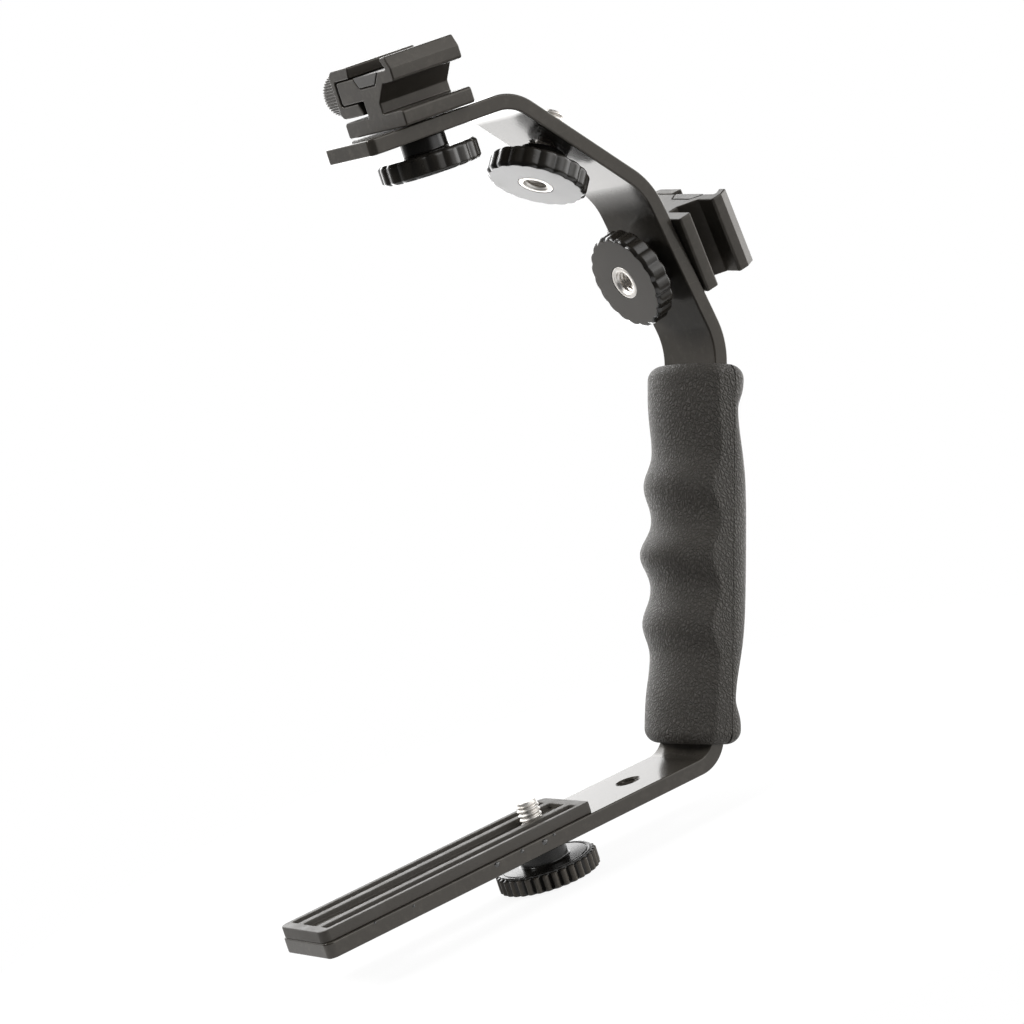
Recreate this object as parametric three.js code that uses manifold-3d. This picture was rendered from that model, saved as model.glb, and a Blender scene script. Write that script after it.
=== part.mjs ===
// L-bracket video grip: a bent flat bar with a ribbed camera pad, a moulded hand grip, a camera screw
// that slides along the lower arm, two clamping accessory shoes and one spare hand knob.
// Millimetres, +Z up. X runs along the lower arm towards the grip, Y across the bar.
// The origin is the middle of the hand grip, on the bar's mid-plane.
import * as THREE from "three";
import { mergeVertices } from "three/addons/utils/BufferGeometryUtils.js";
import Module from "manifold-3d";

const wasm = await Module();
wasm.setup();

// Running gap between pieces that sit against each other, and between a moulded-in metal piece and its plastic
const gap = 0.3;
const mouldGap = 0.1;
// How far a cutting tool runs past the face it cuts
const overrun = 2;

// Bar: each reach is from corner to corner along the mid-plane
const barWidth = 25;
const barThickness = 4.3;
const barEdgeBevel = 0.5;
const lowerArmReach = 130.8;
const handleReach = 115.4;
const sideRunReach = 47.8;
const slopeRunReach = 48.2;
const upperArmReach = 46.8;
const heelRadius = 8.9;
const sideRadius = 20.9;
const slopeRadius = 19.6;
const shoulderRadius = 13.1;
const lowerCornerRadius = 2.5;
const upperCornerRadius = 2.2;
const heelTurn = THREE.MathUtils.degToRad(68.2);
const sideTurn = THREE.MathUtils.degToRad(31.4);
const slopeTurn = THREE.MathUtils.degToRad(33.4);
const shoulderTurn = Math.PI - heelTurn - sideTurn - slopeTurn;

// Places of the holes, along each run from its first corner
const sideHoleReach = 25.7;
const slopeHoleReach = 27.9;
const topHoleReach = 23.7;
const tripodHoleReach = 22.2;
const studHoleRadius = 4.1;
const tripodHoleRadius = 3.27;

// Camera slot and screw: the screw rests near the slot's grip end
const screwRadius = 3.2;
const slotClearance = 0.25;
const screwReach = 54.9;
const slotHeadroom = 0.6;
const slotTravel = 60;
const screwTipHeight = 10;
const screwTipChamfer = 0.7;

// Ribbed camera pad
const padLength = 88;
const padHeight = 3.2;
const padEdgeInset = 0.9;
const padCornerRadius = 2.5;
const padGrooveDepth = 1.5;
const padEndRim = 3.2;
const padSideRim = 1.9;
const padRibWidth = 2.7;
const padMiddleGroove = 7.2;

// Camera screw's washer and finely ribbed knob
const washerRadius = 6.3;
const washerThickness = 0.8;
const cameraHubRadius = 6.75;
const cameraHubDrop = 5.1;
const cameraFlangeRadius = 12.2;
const cameraRingWidth = 0.45;
const cameraRingDepth = 0.4;
const cameraRimRadius = 14.25;
const cameraRimHeight = 5.1;
const cameraRimShoulder = 0.8;
const cameraRibs = 33;
const cameraRibDepth = 0.75;
const cameraScrewSeat = 8;

// Scalloped hand knob with its moulded-in stud
const knobHubRadius = 6.45;
const knobHubLength = 3.9;
const knobRimRadius = 14;
const knobRimHeight = 5.8;
const knobEdgeChamfer = 0.75;
const knobLobes = 19;
const knobLobeDepth = 0.8;
const insertRadius = 4.85;
const insertLength = 8;
const socketRadius = 3.05;
const socketDepth = 7;
const socketChamfer = 0.55;
const studRadius = 3.1;
const studLength = 13.6;
const studTipChamfer = 0.5;
// The side knob and its shoe sit against the far side of their hole
const sidePlay = 0.7;
// The spare knob has nothing to pull against, so it hangs a little out of its hole and leans
const spareKnobSlack = 1.05;
const spareLeanAlong = THREE.MathUtils.degToRad(-7.9);
const spareLeanAcross = THREE.MathUtils.degToRad(-4.3);

// Hand grip: depths are measured from the bar's mid-plane
const gripStart = 4;
const gripLength = 105.2;
const gripHalfWidth = 16;
const gripEndRadius = 4;
const fingerAxisSetback = 2;
const fingerHolds = 4;
const fingerHoldDepth = 9.8;
const fingerPitch = 19.2;
const firstFingerReach = 27.5;
const sideRidgeHeight = 2.8;
const midRidgeHeight = 4.4;
const fingerEndRise = 2;
const fingerEndSpread = 8.6;
const creaseDepth = 3.2;
const creaseHoldRise = 1;
const creaseRidgeDrop = 1.9;
const palmDepth = 11.8;
const palmAxisSetback = 1;
const palmCrownDrop = 2;
const palmWaistDepth = 3.4;
const palmWaistReach = 12.8;
const palmWaistInnerSpread = 12.5;
const palmWaistLipSpread = 4.5;
// Squareness of the palm side: 1 is an ellipse, less is fuller
const palmPower = 0.8;
// Sharpness of the ridges between the finger holds: 1 is a plain wave
const ridgePower = 1.2;

// Accessory shoe: an extruded profile, read from its base upwards; across is towards the lip
const shoeLength = 22.4;
const shoeSwivel = THREE.MathUtils.degToRad(6.5);
const shoeOverhang = 1.1;
const flangeHalfWidth = 15.3;
const flangeThickness = 4.4;
const flangeCornerRadius = 0.6;
const stemLipReach = 5.4;
const stemHeadReach = 2.4;
const stemHeight = 3;
const flareRise = 4.7;
const flareReach = 9.9;
const lipOuter = 15.8;
const lipThickness = 2.5;
const lipHeight = 6.7;
const lipChamfer = 1.6;
const lipUndercut = 2.1;
const channelDepth = 3.25;
const headReach = 13.35;
const headHeight = 6.4;
const headDrop = 0.15;
const grooveTopLipReach = 9;
const grooveTopHeadReach = 4.5;
const grooveFloorLipReach = 5.7;
const grooveFloorHeadReach = 2.3;
const grooveDepth = 3.3;
const shoeEndChamfer = 0.25;
const studBoreClearance = 0.25;

// Clamp jaw round the shoe's head, and the knurled screw that draws it
const jawWall = 2.05;
const jawPlay = 0.6;
const lockHeight = 11.9;
const jawTopTip = 5.3;
const jawTopUndercut = 0.9;
const jawFootTip = 3.7;
const jawFootUndercut = 2;
const jawFootThickness = 3.3;
const jawCornerRadius = 2.2;
const lockShankRadius = 2;
const lockCollarRadius = 4.2;
const lockCollarLength = 5;
const lockHeadRadius = 6.4;
const lockHeadLength = 9.6;
const lockHeadChamfer = 0.6;
const lockRidges = 48;
const lockRidgeDepth = 0.35;
const lockThreadLength = 8;

// Facet counts
const bendSteps = 4;
const cornerSteps = 3;
const roundSides = 32;
const knobLobeSteps = 4;
const cameraRibSteps = 3;
const gripStations = 38;
const gripArcSteps = 12;
const gripEndSteps = 4;

const colours = {
  barCoat: new THREE.MeshStandardMaterial({ color: 0x55534f, roughness: 0.3, metalness: 0.6 }),
  pad: new THREE.MeshStandardMaterial({ color: 0x2c2b29, roughness: 0.55, metalness: 0 }),
  grip: new THREE.MeshStandardMaterial({ color: 0x2b2a28, roughness: 0.7, metalness: 0 }),
  knob: new THREE.MeshStandardMaterial({ color: 0x1b1b1a, roughness: 0.25, metalness: 0 }),
  steel: new THREE.MeshStandardMaterial({ color: 0xc9c5bb, roughness: 0.25, metalness: 1 }),
  shoe: new THREE.MeshStandardMaterial({ color: 0x3a3937, roughness: 0.45, metalness: 0.5 }),
  insert: new THREE.MeshStandardMaterial({ color: 0x474847, roughness: 0.4, metalness: 0.6 }),
  washer: new THREE.MeshStandardMaterial({ color: 0x1f1f1e, roughness: 0.6, metalness: 0 }),
};

// Solids: closed geometries become manifold solids, which are then joined and cut

function toSolid(shape) {
  if (shape instanceof wasm.Manifold) return shape;
  const plain = shape.index ? shape.toNonIndexed() : shape.clone();
  plain.deleteAttribute("normal");
  plain.deleteAttribute("uv");
  const merged = mergeVertices(plain);
  const kept = [];
  const index = merged.index.array;
  for (let i = 0; i < index.length; i += 3) {
    const [a, b, c] = index.slice(i, i + 3);
    if (a !== b && b !== c && c !== a) kept.push(a, b, c);
  }
  return new wasm.Manifold(
    new wasm.Mesh({
      numProp: 3,
      vertProperties: merged.attributes.position.array,
      triVerts: new Uint32Array(kept),
    }),
  );
}

const join = (...shapes) => shapes.map(toSolid).reduce((whole, next) => whole.add(next));
const cut = (body, ...tools) => tools.map(toSolid).reduce((left, tool) => left.subtract(tool), toSolid(body));
const common = (body, other) => toSolid(body).intersect(toSolid(other));

function meshOf(name, shape, material) {
  const made = toSolid(shape).getMesh();
  const geometry = new THREE.BufferGeometry();
  geometry.setAttribute("position", new THREE.BufferAttribute(made.vertProperties, 3));
  geometry.setIndex(new THREE.BufferAttribute(made.triVerts, 1));
  geometry.computeVertexNormals();
  const mesh = new THREE.Mesh(geometry, material.clone());
  mesh.name = name;
  return mesh;
}

// A prism of a shape along +Z, with its end edges bevelled inwards
function prism(shape, from, to, bevel = 0, steps = cornerSteps) {
  const geometry = new THREE.ExtrudeGeometry(shape, {
    depth: to - from - bevel - bevel,
    bevelEnabled: bevel > 0,
    bevelThickness: bevel,
    bevelSize: bevel,
    bevelOffset: -bevel,
    bevelSegments: 1,
    curveSegments: steps,
  });
  return geometry.translate(0, 0, from + bevel);
}

// A solid of revolution about Z; each point is [radius, height], from the axis below to the axis above
function turned(points) {
  const profile = points.map(([radius, height]) => new THREE.Vector2(radius, height));
  return new THREE.LatheGeometry(profile, roundSides).rotateX(Math.PI / 2);
}

const rod = (radius, from, to) => turned([[0, from], [radius, from], [radius, to], [0, to]]);

// A rod whose upper end has a chamfer
const tippedRod = (radius, from, to, chamfer) =>
  turned([[0, from], [radius, from], [radius, to - chamfer], [radius - chamfer, to], [0, to]]);

// A closed outline with rounded corners; each corner is [x, y, setback]
function rounded(corners) {
  const shape = new THREE.Shape();
  corners.forEach(([x, y, setback = 0], i) => {
    const here = new THREE.Vector2(x, y);
    const [before, after] = [-1, 1].map((step) => {
      const [nx, ny] = corners[(i + step + corners.length) % corners.length];
      return here.clone().add(new THREE.Vector2(nx, ny).sub(here).setLength(setback));
    });
    if (i === 0) shape.moveTo(before.x, before.y);
    else shape.lineTo(before.x, before.y);
    if (setback > 0) shape.quadraticCurveTo(here.x, here.y, after.x, after.y);
  });
  shape.closePath();
  return shape;
}

function box(x0, x1, y0, y1, z0, z1) {
  return prism(rounded([[x0, y0], [x1, y0], [x1, y1], [x0, y1]]), z0, z1);
}

// The slot that the camera screw slides in, through the bar and the pad
function cameraSlot() {
  const near = slotHeadroom - screwReach;
  const radius = screwRadius + slotClearance;
  const shape = new THREE.Shape();
  shape.absarc(near, 0, radius, -Math.PI / 2, Math.PI / 2);
  shape.absarc(near - slotTravel, 0, radius, Math.PI / 2, Math.PI * 1.5);
  shape.closePath();
  return shape;
}

// A closed outline whose radius follows a formula of the turn
function lobedOutline(radius, depth, lobes, steps) {
  const shape = new THREE.Shape();
  const count = lobes * steps;
  for (let i = 0; i < count; i++) {
    const turn = (i / count) * Math.PI * 2;
    const r = radius - depth * (1 - Math.abs(Math.sin((lobes * turn) / 2)));
    if (i === 0) shape.moveTo(r * Math.cos(turn), r * Math.sin(turn));
    else shape.lineTo(r * Math.cos(turn), r * Math.sin(turn));
  }
  shape.closePath();
  return shape;
}

// Bar: corners of the mid-plane in the X-Z plane, and the run that starts at each

const heading = [0, heelTurn, heelTurn + sideTurn, heelTurn + sideTurn + slopeTurn, Math.PI];
const reaches = [lowerArmReach, handleReach, sideRunReach, slopeRunReach, upperArmReach];
const radii = [heelRadius, sideRadius, slopeRadius, shoulderRadius];
const along = (run) => new THREE.Vector2(Math.cos(heading[run]), Math.sin(heading[run]));
const inward = (run) => new THREE.Vector2(-Math.sin(heading[run]), Math.cos(heading[run]));

const corners = [new THREE.Vector2(-lowerArmReach, 0)];
reaches.forEach((reach, run) => corners.push(corners[run].clone().addScaledVector(along(run), reach)));

const [LOWER, HANDLE, SIDE, SLOPE, UPPER] = [0, 1, 2, 3, 4];

// One side of the bar, at an offset from the mid-plane, outwards positive
function barSide(shape, offset, backwards) {
  const bends = backwards ? [3, 2, 1, 0] : [0, 1, 2, 3];
  for (const bend of bends) {
    const setback = radii[bend] * Math.tan((heading[bend + 1] - heading[bend]) / 2);
    const centre = corners[bend + 1]
      .clone()
      .addScaledVector(along(bend), -setback)
      .addScaledVector(inward(bend), radii[bend]);
    const start = heading[bend] - Math.PI / 2;
    const end = heading[bend + 1] - Math.PI / 2;
    const radius = radii[bend] + offset;
    if (backwards) shape.absarc(centre.x, centre.y, radius, end, start, true);
    else shape.absarc(centre.x, centre.y, radius, start, end, false);
  }
}

function barStrip(thickness, width, bevel) {
  const half = thickness / 2;
  const end = corners[UPPER + 1];
  const shape = new THREE.Shape();
  shape.moveTo(corners[0].x, half);
  shape.lineTo(corners[0].x, -half);
  barSide(shape, half, false);
  shape.lineTo(end.x, end.y + half);
  shape.lineTo(end.x, end.y - half);
  barSide(shape, -half, true);
  shape.closePath();
  return prism(shape, -width / 2, width / 2, bevel, bendSteps).rotateX(Math.PI / 2);
}

// Rounds the two plan corners of an end that faces -X
function endCornerTools(endX, midZ, radius) {
  const spandrel = new THREE.Shape();
  spandrel.moveTo(radius, -overrun);
  spandrel.lineTo(-overrun, -overrun);
  spandrel.lineTo(-overrun, radius);
  spandrel.absarc(radius, radius, radius, Math.PI, Math.PI * 1.5);
  spandrel.closePath();
  const tool = prism(spandrel, midZ - barThickness, midZ + barThickness, 0, cornerSteps + 1);
  const near = tool.clone().translate(endX, -barWidth / 2, 0);
  const far = tool.clone().rotateZ(-Math.PI / 2).translate(endX, barWidth / 2, 0);
  return [near, far];
}

// Turns a shape made along +Z so that it passes square through a run, at a place along it
function throughRun(shape, run, place) {
  const at = corners[run].clone().addScaledVector(along(run), place);
  return shape.rotateY(-heading[run]).translate(at.x, 0, at.y);
}

function makeBar() {
  const through = barThickness + overrun;
  const slot = prism(cameraSlot(), -through, through);
  const holes = [
    [studHoleRadius, SIDE, sideHoleReach],
    [studHoleRadius, SLOPE, slopeHoleReach],
    [studHoleRadius, UPPER, topHoleReach],
    [tripodHoleRadius, LOWER, lowerArmReach - tripodHoleReach],
  ].map(([radius, run, place]) => throughRun(rod(radius, -through, through), run, place));
  return cut(
    barStrip(barThickness, barWidth, barEdgeBevel),
    ...endCornerTools(corners[0].x, corners[0].y, lowerCornerRadius),
    ...endCornerTools(corners[UPPER + 1].x, corners[UPPER + 1].y, upperCornerRadius),
    slot,
    ...holes,
  );
}

// Pad: its top has three grooves between two ribs and a rim, and the middle one opens to the slot
function makePad() {
  const x0 = -lowerArmReach;
  const x1 = x0 + padLength;
  const half = barWidth / 2 - padEdgeInset;
  const base = barThickness / 2;
  const top = base + padHeight;
  const floor = top - padGrooveDepth;
  const plan = rounded([
    [x0, -half, padCornerRadius],
    [x1, -half, padEdgeInset],
    [x1, half, padCornerRadius],
    [x0, half, padCornerRadius],
  ]);
  const grooveStart = x0 + padEndRim;
  const grooveEnd = x1 - padEndRim;
  const sideOuter = half - padSideRim;
  const sideInner = padMiddleGroove / 2 + padRibWidth;
  const groove = (y0, y1) => box(grooveStart, grooveEnd, y0, y1, floor, top + overrun);
  const slot = prism(cameraSlot(), base - overrun, top + overrun);
  return cut(
    prism(plan, base, top),
    groove(-padMiddleGroove / 2, padMiddleGroove / 2),
    groove(-sideOuter, -sideInner),
    groove(sideInner, sideOuter),
    slot,
  );
}

// Camera screw, its washer and its knob, in the lower arm's frame with Z = 0 on the mid-plane

const washerTop = -barThickness / 2 - gap;
const cameraHubTop = washerTop - washerThickness - gap;
const cameraRimTop = -barThickness / 2 - cameraHubDrop;
const cameraRimFoot = cameraRimTop - cameraRimHeight;

function makeWasher() {
  return cut(
    rod(washerRadius, washerTop - washerThickness, washerTop),
    rod(screwRadius + gap, washerTop - washerThickness - overrun, washerTop + overrun),
  );
}

function makeCameraScrew() {
  return tippedRod(screwRadius, cameraHubTop - cameraScrewSeat, screwTipHeight, screwTipChamfer);
}

function makeCameraKnob() {
  const ribTop = cameraRimTop - cameraRimShoulder;
  const ringIn = cameraFlangeRadius;
  const ringOut = ringIn + cameraRingWidth;
  const core = turned([
    [0, cameraRimFoot],
    [cameraRimRadius - cameraRimShoulder, cameraRimFoot],
    [cameraRimRadius, cameraRimFoot + cameraRimShoulder],
    [cameraRimRadius, ribTop],
    [cameraRimRadius - cameraRimShoulder, cameraRimTop],
    [ringOut, cameraRimTop],
    [ringOut, cameraRimTop - cameraRingDepth],
    [ringIn, cameraRimTop - cameraRingDepth],
    [ringIn, cameraRimTop],
    [cameraHubRadius, cameraRimTop],
    [cameraHubRadius, cameraHubTop],
    [0, cameraHubTop],
  ]);
  const ribs = prism(
    lobedOutline(cameraRimRadius, cameraRibDepth, cameraRibs, cameraRibSteps),
    cameraRimFoot - overrun,
    cameraHubTop + overrun,
  );
  const seat = rod(screwRadius + mouldGap, cameraHubTop - cameraScrewSeat - gap, cameraHubTop + overrun);
  return cut(common(core, ribs), seat);
}

// Scalloped knob and stud, with Z = 0 on the bar's mid-plane and +Z towards the hand

const knobHubStart = barThickness / 2 + gap;
const knobRimStart = knobHubStart + knobHubLength;
const knobFace = knobRimStart + knobRimHeight;

function makeKnobBody() {
  const chamfered = turned([
    [0, knobHubStart],
    [knobHubRadius, knobHubStart],
    [knobHubRadius, knobRimStart],
    [knobRimRadius - knobEdgeChamfer, knobRimStart],
    [knobRimRadius, knobRimStart + knobEdgeChamfer],
    [knobRimRadius, knobFace - knobEdgeChamfer],
    [knobRimRadius - knobEdgeChamfer, knobFace],
    [0, knobFace],
  ]);
  const scallops = prism(
    lobedOutline(knobRimRadius, knobLobeDepth, knobLobes, knobLobeSteps),
    knobHubStart - overrun,
    knobFace + overrun,
  );
  const insertSeat = rod(insertRadius + mouldGap, knobFace - insertLength - mouldGap, knobFace + overrun);
  const studSeat = rod(studRadius + mouldGap, knobHubStart - overrun, knobFace);
  return cut(common(chamfered, scallops), insertSeat, studSeat);
}

function makeStud() {
  const insertStart = knobFace - insertLength;
  const body = turned([
    [0, insertStart - studLength],
    [studRadius - studTipChamfer, insertStart - studLength],
    [studRadius, insertStart - studLength + studTipChamfer],
    [studRadius, insertStart],
    [insertRadius, insertStart],
    [insertRadius, knobFace],
    [0, knobFace],
  ]);
  const socket = turned([
    [0, knobFace - socketDepth],
    [socketRadius, knobFace - socketDepth],
    [socketRadius, knobFace - socketChamfer],
    [socketRadius + socketChamfer, knobFace],
    [socketRadius + socketChamfer, knobFace + overrun],
    [0, knobFace + overrun],
  ]);
  return cut(body, socket);
}

// Grip: a lofted body in the handle's frame, X along the handle, +Z outwards to the palm

const bell = (distance, spread) => Math.exp(-((distance / spread) ** 2));

function gripSection(reach) {
  const lastHold = firstFingerReach + fingerPitch * (fingerHolds - 1);
  const phase = (reach - firstFingerReach) / fingerPitch;
  const beyond = Math.max(firstFingerReach - reach, reach - lastHold, 0);
  const wave = beyond > 0 ? 0 : (1 - Math.cos(phase * Math.PI * 2)) / 2;
  const ridgeHeight = Math.floor(phase) === 1 ? midRidgeHeight : sideRidgeHeight;
  const calm = 1 - bell(beyond, fingerEndSpread);
  const front = fingerHoldDepth + ridgeHeight * wave ** ridgePower + fingerEndRise * calm;
  const crease = -creaseDepth + creaseHoldRise * (1 - calm) - (creaseHoldRise + creaseRidgeDrop) * wave;
  const halfLength = gripLength / 2;
  const fromMiddle = (reach - gripStart - halfLength) / halfLength;
  const fromEnd = halfLength * (1 - Math.abs(fromMiddle));
  const waistSpread = fromEnd > palmWaistReach ? palmWaistInnerSpread : palmWaistLipSpread;
  const waist = palmWaistDepth * bell(fromEnd - palmWaistReach, waistSpread);
  const back = palmDepth - palmCrownDrop * fromMiddle ** 2 - waist;
  return { front, back, crease };
}

// How far the surface draws in near an end, for the rounded end edge
function endInset(fromEnd) {
  const inside = Math.max(gripEndRadius - fromEnd, 0);
  return gripEndRadius - Math.sqrt(gripEndRadius ** 2 - inside ** 2);
}

function gripRing(reach, fromEnd) {
  const { front, back, crease } = gripSection(reach);
  const inset = endInset(fromEnd);
  const axis = front + fingerAxisSetback;
  const startTurn = Math.acos((fingerAxisSetback - crease) / axis);
  const widest = gripHalfWidth / Math.sin(startTurn) - inset;
  const ring = [];
  for (let i = 0; i < gripArcSteps; i++) {
    const turn = startTurn - (i / gripArcSteps) * startTurn * 2;
    const y = widest * Math.sin(turn);
    const z = fingerAxisSetback - (axis - inset) * Math.cos(turn);
    ring.push([reach, y, z]);
  }
  const crest = [reach, -widest * Math.sin(startTurn), fingerAxisSetback - (axis - inset) * Math.cos(startTurn)];
  ring.push(crest);
  for (let i = 0; i <= gripArcSteps; i++) {
    const turn = -Math.PI / 2 + (i / gripArcSteps) * Math.PI;
    const y = (gripHalfWidth - inset) * Math.sign(Math.sin(turn)) * Math.abs(Math.sin(turn)) ** palmPower;
    const z = palmAxisSetback + (back - inset - palmAxisSetback) * Math.cos(turn) ** palmPower;
    ring.push([reach, y, z]);
  }
  return ring;
}

function gripStationReaches() {
  const distances = [];
  for (let i = 0; i <= gripEndSteps; i++) {
    distances.push(gripEndRadius * (1 - Math.cos((i / gripEndSteps) * (Math.PI / 2))));
  }
  const plainLength = gripLength - gripEndRadius - gripEndRadius;
  const middle = [];
  for (let i = 1; i < gripStations; i++) middle.push(gripEndRadius + (plainLength * i) / gripStations);
  const far = distances.map((distance) => gripLength - distance).reverse();
  return [...distances, ...middle, ...far];
}

function loft(rings) {
  const around = rings[0].length;
  const points = rings.flat(2);
  const centre = (ring) => [0, 1, 2].map((k) => ring.reduce((sum, p) => sum + p[k], 0) / around);
  const startCap = points.length / 3;
  points.push(...centre(rings[0]), ...centre(rings[rings.length - 1]));
  const index = [];
  for (let r = 0; r < rings.length - 1; r++) {
    for (let i = 0; i < around; i++) {
      const a = r * around + i;
      const b = r * around + ((i + 1) % around);
      index.push(a, b + around, b, a, a + around, b + around);
    }
  }
  const last = (rings.length - 1) * around;
  for (let i = 0; i < around; i++) {
    const next = (i + 1) % around;
    index.push(startCap, i, next);
    index.push(startCap + 1, last + next, last + i);
  }
  const geometry = new THREE.BufferGeometry();
  geometry.setAttribute("position", new THREE.Float32BufferAttribute(points, 3));
  geometry.setIndex(index);
  return geometry;
}

// The bar with room round it, as it lies in the handle's frame
function barEnvelope() {
  const room = gap + gap;
  const strip = barStrip(barThickness + room, barWidth + room, 0);
  return strip
    .translate(-corners[HANDLE].x, 0, -corners[HANDLE].y)
    .rotateY(heading[HANDLE])
    .rotateX(Math.PI);
}

function makeGripHalves() {
  const rings = gripStationReaches().map((distance) =>
    gripRing(gripStart + distance, Math.min(distance, gripLength - distance)),
  );
  const body = toSolid(loft(rings));
  const reach = gripStart + gripLength + overrun;
  const wide = gripHalfWidth + overrun;
  const deep = palmDepth + gripHalfWidth;
  const parting = barThickness / 2;
  const fingerSide = box(gripStart - overrun, reach, -wide, wide, -deep, parting);
  const palmSide = box(gripStart - overrun, reach, -wide, wide, parting + gap, deep);
  return {
    finger: cut(common(body, fingerSide), barEnvelope()),
    palm: common(body, palmSide),
  };
}

// Shoe pieces: the profile lies in Y-Z and runs along X; Z = 0 is the bar's outer face, +Y the lip side

const alongX = (shape, bevel = 0) =>
  prism(shape, -shoeLength / 2, shoeLength / 2, bevel).rotateX(Math.PI / 2).rotateZ(Math.PI / 2);

const shoeFoot = gap;
const flangeTop = shoeFoot + flangeThickness;
const stemTop = flangeTop + stemHeight;
const lipFoot = stemTop + flareRise;
const lipTop = lipFoot + lipHeight;
const channelFloor = lipTop - channelDepth;
const headTop = channelFloor - headDrop;
const headFoot = headTop - headHeight;
const grooveFloor = channelFloor - grooveDepth;
const lipInner = lipOuter - lipThickness;

// The lock screw's shapes are made along +Z and then point away from the lip, out of the jaw
const alongLock = (shape) => shape.rotateX(Math.PI / 2).translate(0, 0, lockHeight);

function makeShoeBody() {
  const profile = rounded([
    [-flangeHalfWidth, shoeFoot, flangeCornerRadius],
    [flangeHalfWidth, shoeFoot, flangeCornerRadius],
    [flangeHalfWidth, flangeTop, flangeCornerRadius],
    [stemLipReach, flangeTop],
    [stemLipReach, stemTop],
    [flareReach, lipFoot],
    [lipOuter, lipFoot, flangeCornerRadius],
    [lipOuter, lipTop - lipChamfer - lipChamfer],
    [lipOuter - lipChamfer, lipTop],
    [lipInner - lipUndercut, lipTop],
    [lipInner, channelFloor],
    [grooveTopLipReach, channelFloor],
    [grooveFloorLipReach, grooveFloor],
    [-grooveFloorHeadReach, grooveFloor],
    [-grooveTopHeadReach, headTop],
    [-headReach, headTop, flangeCornerRadius],
    [-headReach, headFoot, flangeCornerRadius],
    [-stemHeadReach, headFoot],
    [-stemHeadReach, flangeTop],
    [-flangeHalfWidth, flangeTop, flangeCornerRadius],
  ]);
  const studReach = studLength + insertLength - knobFace - barThickness / 2;
  const studBore = rod(studRadius + studBoreClearance, shoeFoot - overrun, studReach + gap);
  studBore.translate(-shoeOverhang, 0, 0);
  const lockBore = alongLock(rod(lockShankRadius + gap, headReach - lockThreadLength, headReach + overrun));
  return cut(alongX(profile, shoeEndChamfer), studBore, lockBore);
}

function makeShoeInsert() {
  const slope = (grooveTopLipReach - grooveFloorLipReach) / grooveDepth;
  const headSlope = (grooveTopHeadReach - grooveFloorHeadReach) / grooveDepth;
  const floor = grooveFloor + gap;
  const profile = rounded([
    [-grooveFloorHeadReach - headSlope * gap + gap, floor],
    [grooveFloorLipReach + slope * gap - gap, floor],
    [grooveTopLipReach - gap, channelFloor],
    [-grooveTopHeadReach + gap, channelFloor],
  ]);
  return alongX(profile);
}

function makeJaw() {
  const innerWall = headReach + jawPlay;
  const outer = innerWall + jawWall;
  const innerTop = headTop + gap;
  const innerFoot = headFoot - gap;
  const foot = innerFoot - jawFootThickness;
  const profile = rounded([
    [-outer, foot, jawCornerRadius],
    [-jawFootTip, foot],
    [-jawFootTip - jawFootUndercut, innerFoot],
    [-innerWall, innerFoot],
    [-innerWall, innerTop],
    [-jawTopTip - jawTopUndercut, innerTop],
    [-jawTopTip, lipTop],
    [-outer, lipTop, jawCornerRadius],
  ]);
  return cut(alongX(profile, shoeEndChamfer), alongLock(rod(lockShankRadius + gap, headReach, outer + overrun)));
}

function makeLockScrew() {
  const seat = headReach + jawPlay + jawWall + gap;
  const headStart = seat + lockCollarLength;
  const headEnd = headStart + lockHeadLength;
  const knurled = common(
    turned([
      [0, headStart],
      [lockHeadRadius - lockHeadChamfer, headStart],
      [lockHeadRadius, headStart + lockHeadChamfer],
      [lockHeadRadius, headEnd - lockHeadChamfer],
      [lockHeadRadius - lockHeadChamfer, headEnd],
      [0, headEnd],
    ]),
    prism(
      lobedOutline(lockHeadRadius, lockRidgeDepth, lockRidges, 2),
      headStart - overrun,
      headEnd + overrun,
    ),
  );
  const collar = rod(lockCollarRadius, seat, headStart + lockHeadChamfer);
  const shankStart = headReach - lockThreadLength + jawPlay + gap;
  return join(knurled, collar, rod(lockShankRadius, shankStart, headStart));
}

// Assembly

const bracket = new THREE.Group();
const gripMiddle = corners[HANDLE].clone().addScaledVector(along(HANDLE), gripStart + gripLength / 2);
bracket.position.set(-gripMiddle.x, 0, -gripMiddle.y);

// A group at a place along a run: X along the run, +Z outwards, +Y towards the lip side
function runGroup(run, place) {
  const group = new THREE.Group();
  const at = corners[run].clone().addScaledVector(along(run), place);
  group.position.set(at.x, 0, at.y);
  group.rotation.set(Math.PI, -heading[run], 0, "YXZ");
  bracket.add(group);
  return group;
}

function addKnob(name, group) {
  const hand = new THREE.Group();
  hand.rotation.x = Math.PI;
  hand.add(meshOf(name, makeKnobBody(), colours.knob));
  hand.add(meshOf(`${name}_stud`, makeStud(), colours.steel));
  group.add(hand);
  return hand;
}

function addShoe(name, group, swivel) {
  const shoe = new THREE.Group();
  shoe.position.z = barThickness / 2;
  shoe.rotation.z = swivel;
  const middle = new THREE.Group();
  middle.position.x = shoeOverhang;
  middle.add(meshOf(`${name}_body`, makeShoeBody(), colours.shoe));
  middle.add(meshOf(`${name}_floor_insert`, makeShoeInsert(), colours.insert));
  middle.add(meshOf(`${name}_jaw`, makeJaw(), colours.shoe));
  const lock = new THREE.Group();
  lock.rotation.x = Math.PI / 2;
  lock.position.z = lockHeight;
  lock.add(meshOf(`${name}_lock_screw`, makeLockScrew(), colours.shoe));
  middle.add(lock);
  shoe.add(middle);
  group.add(shoe);
}

bracket.add(meshOf("bracket_bar", makeBar(), colours.barCoat));
bracket.add(meshOf("camera_pad", makePad(), colours.pad));

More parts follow.
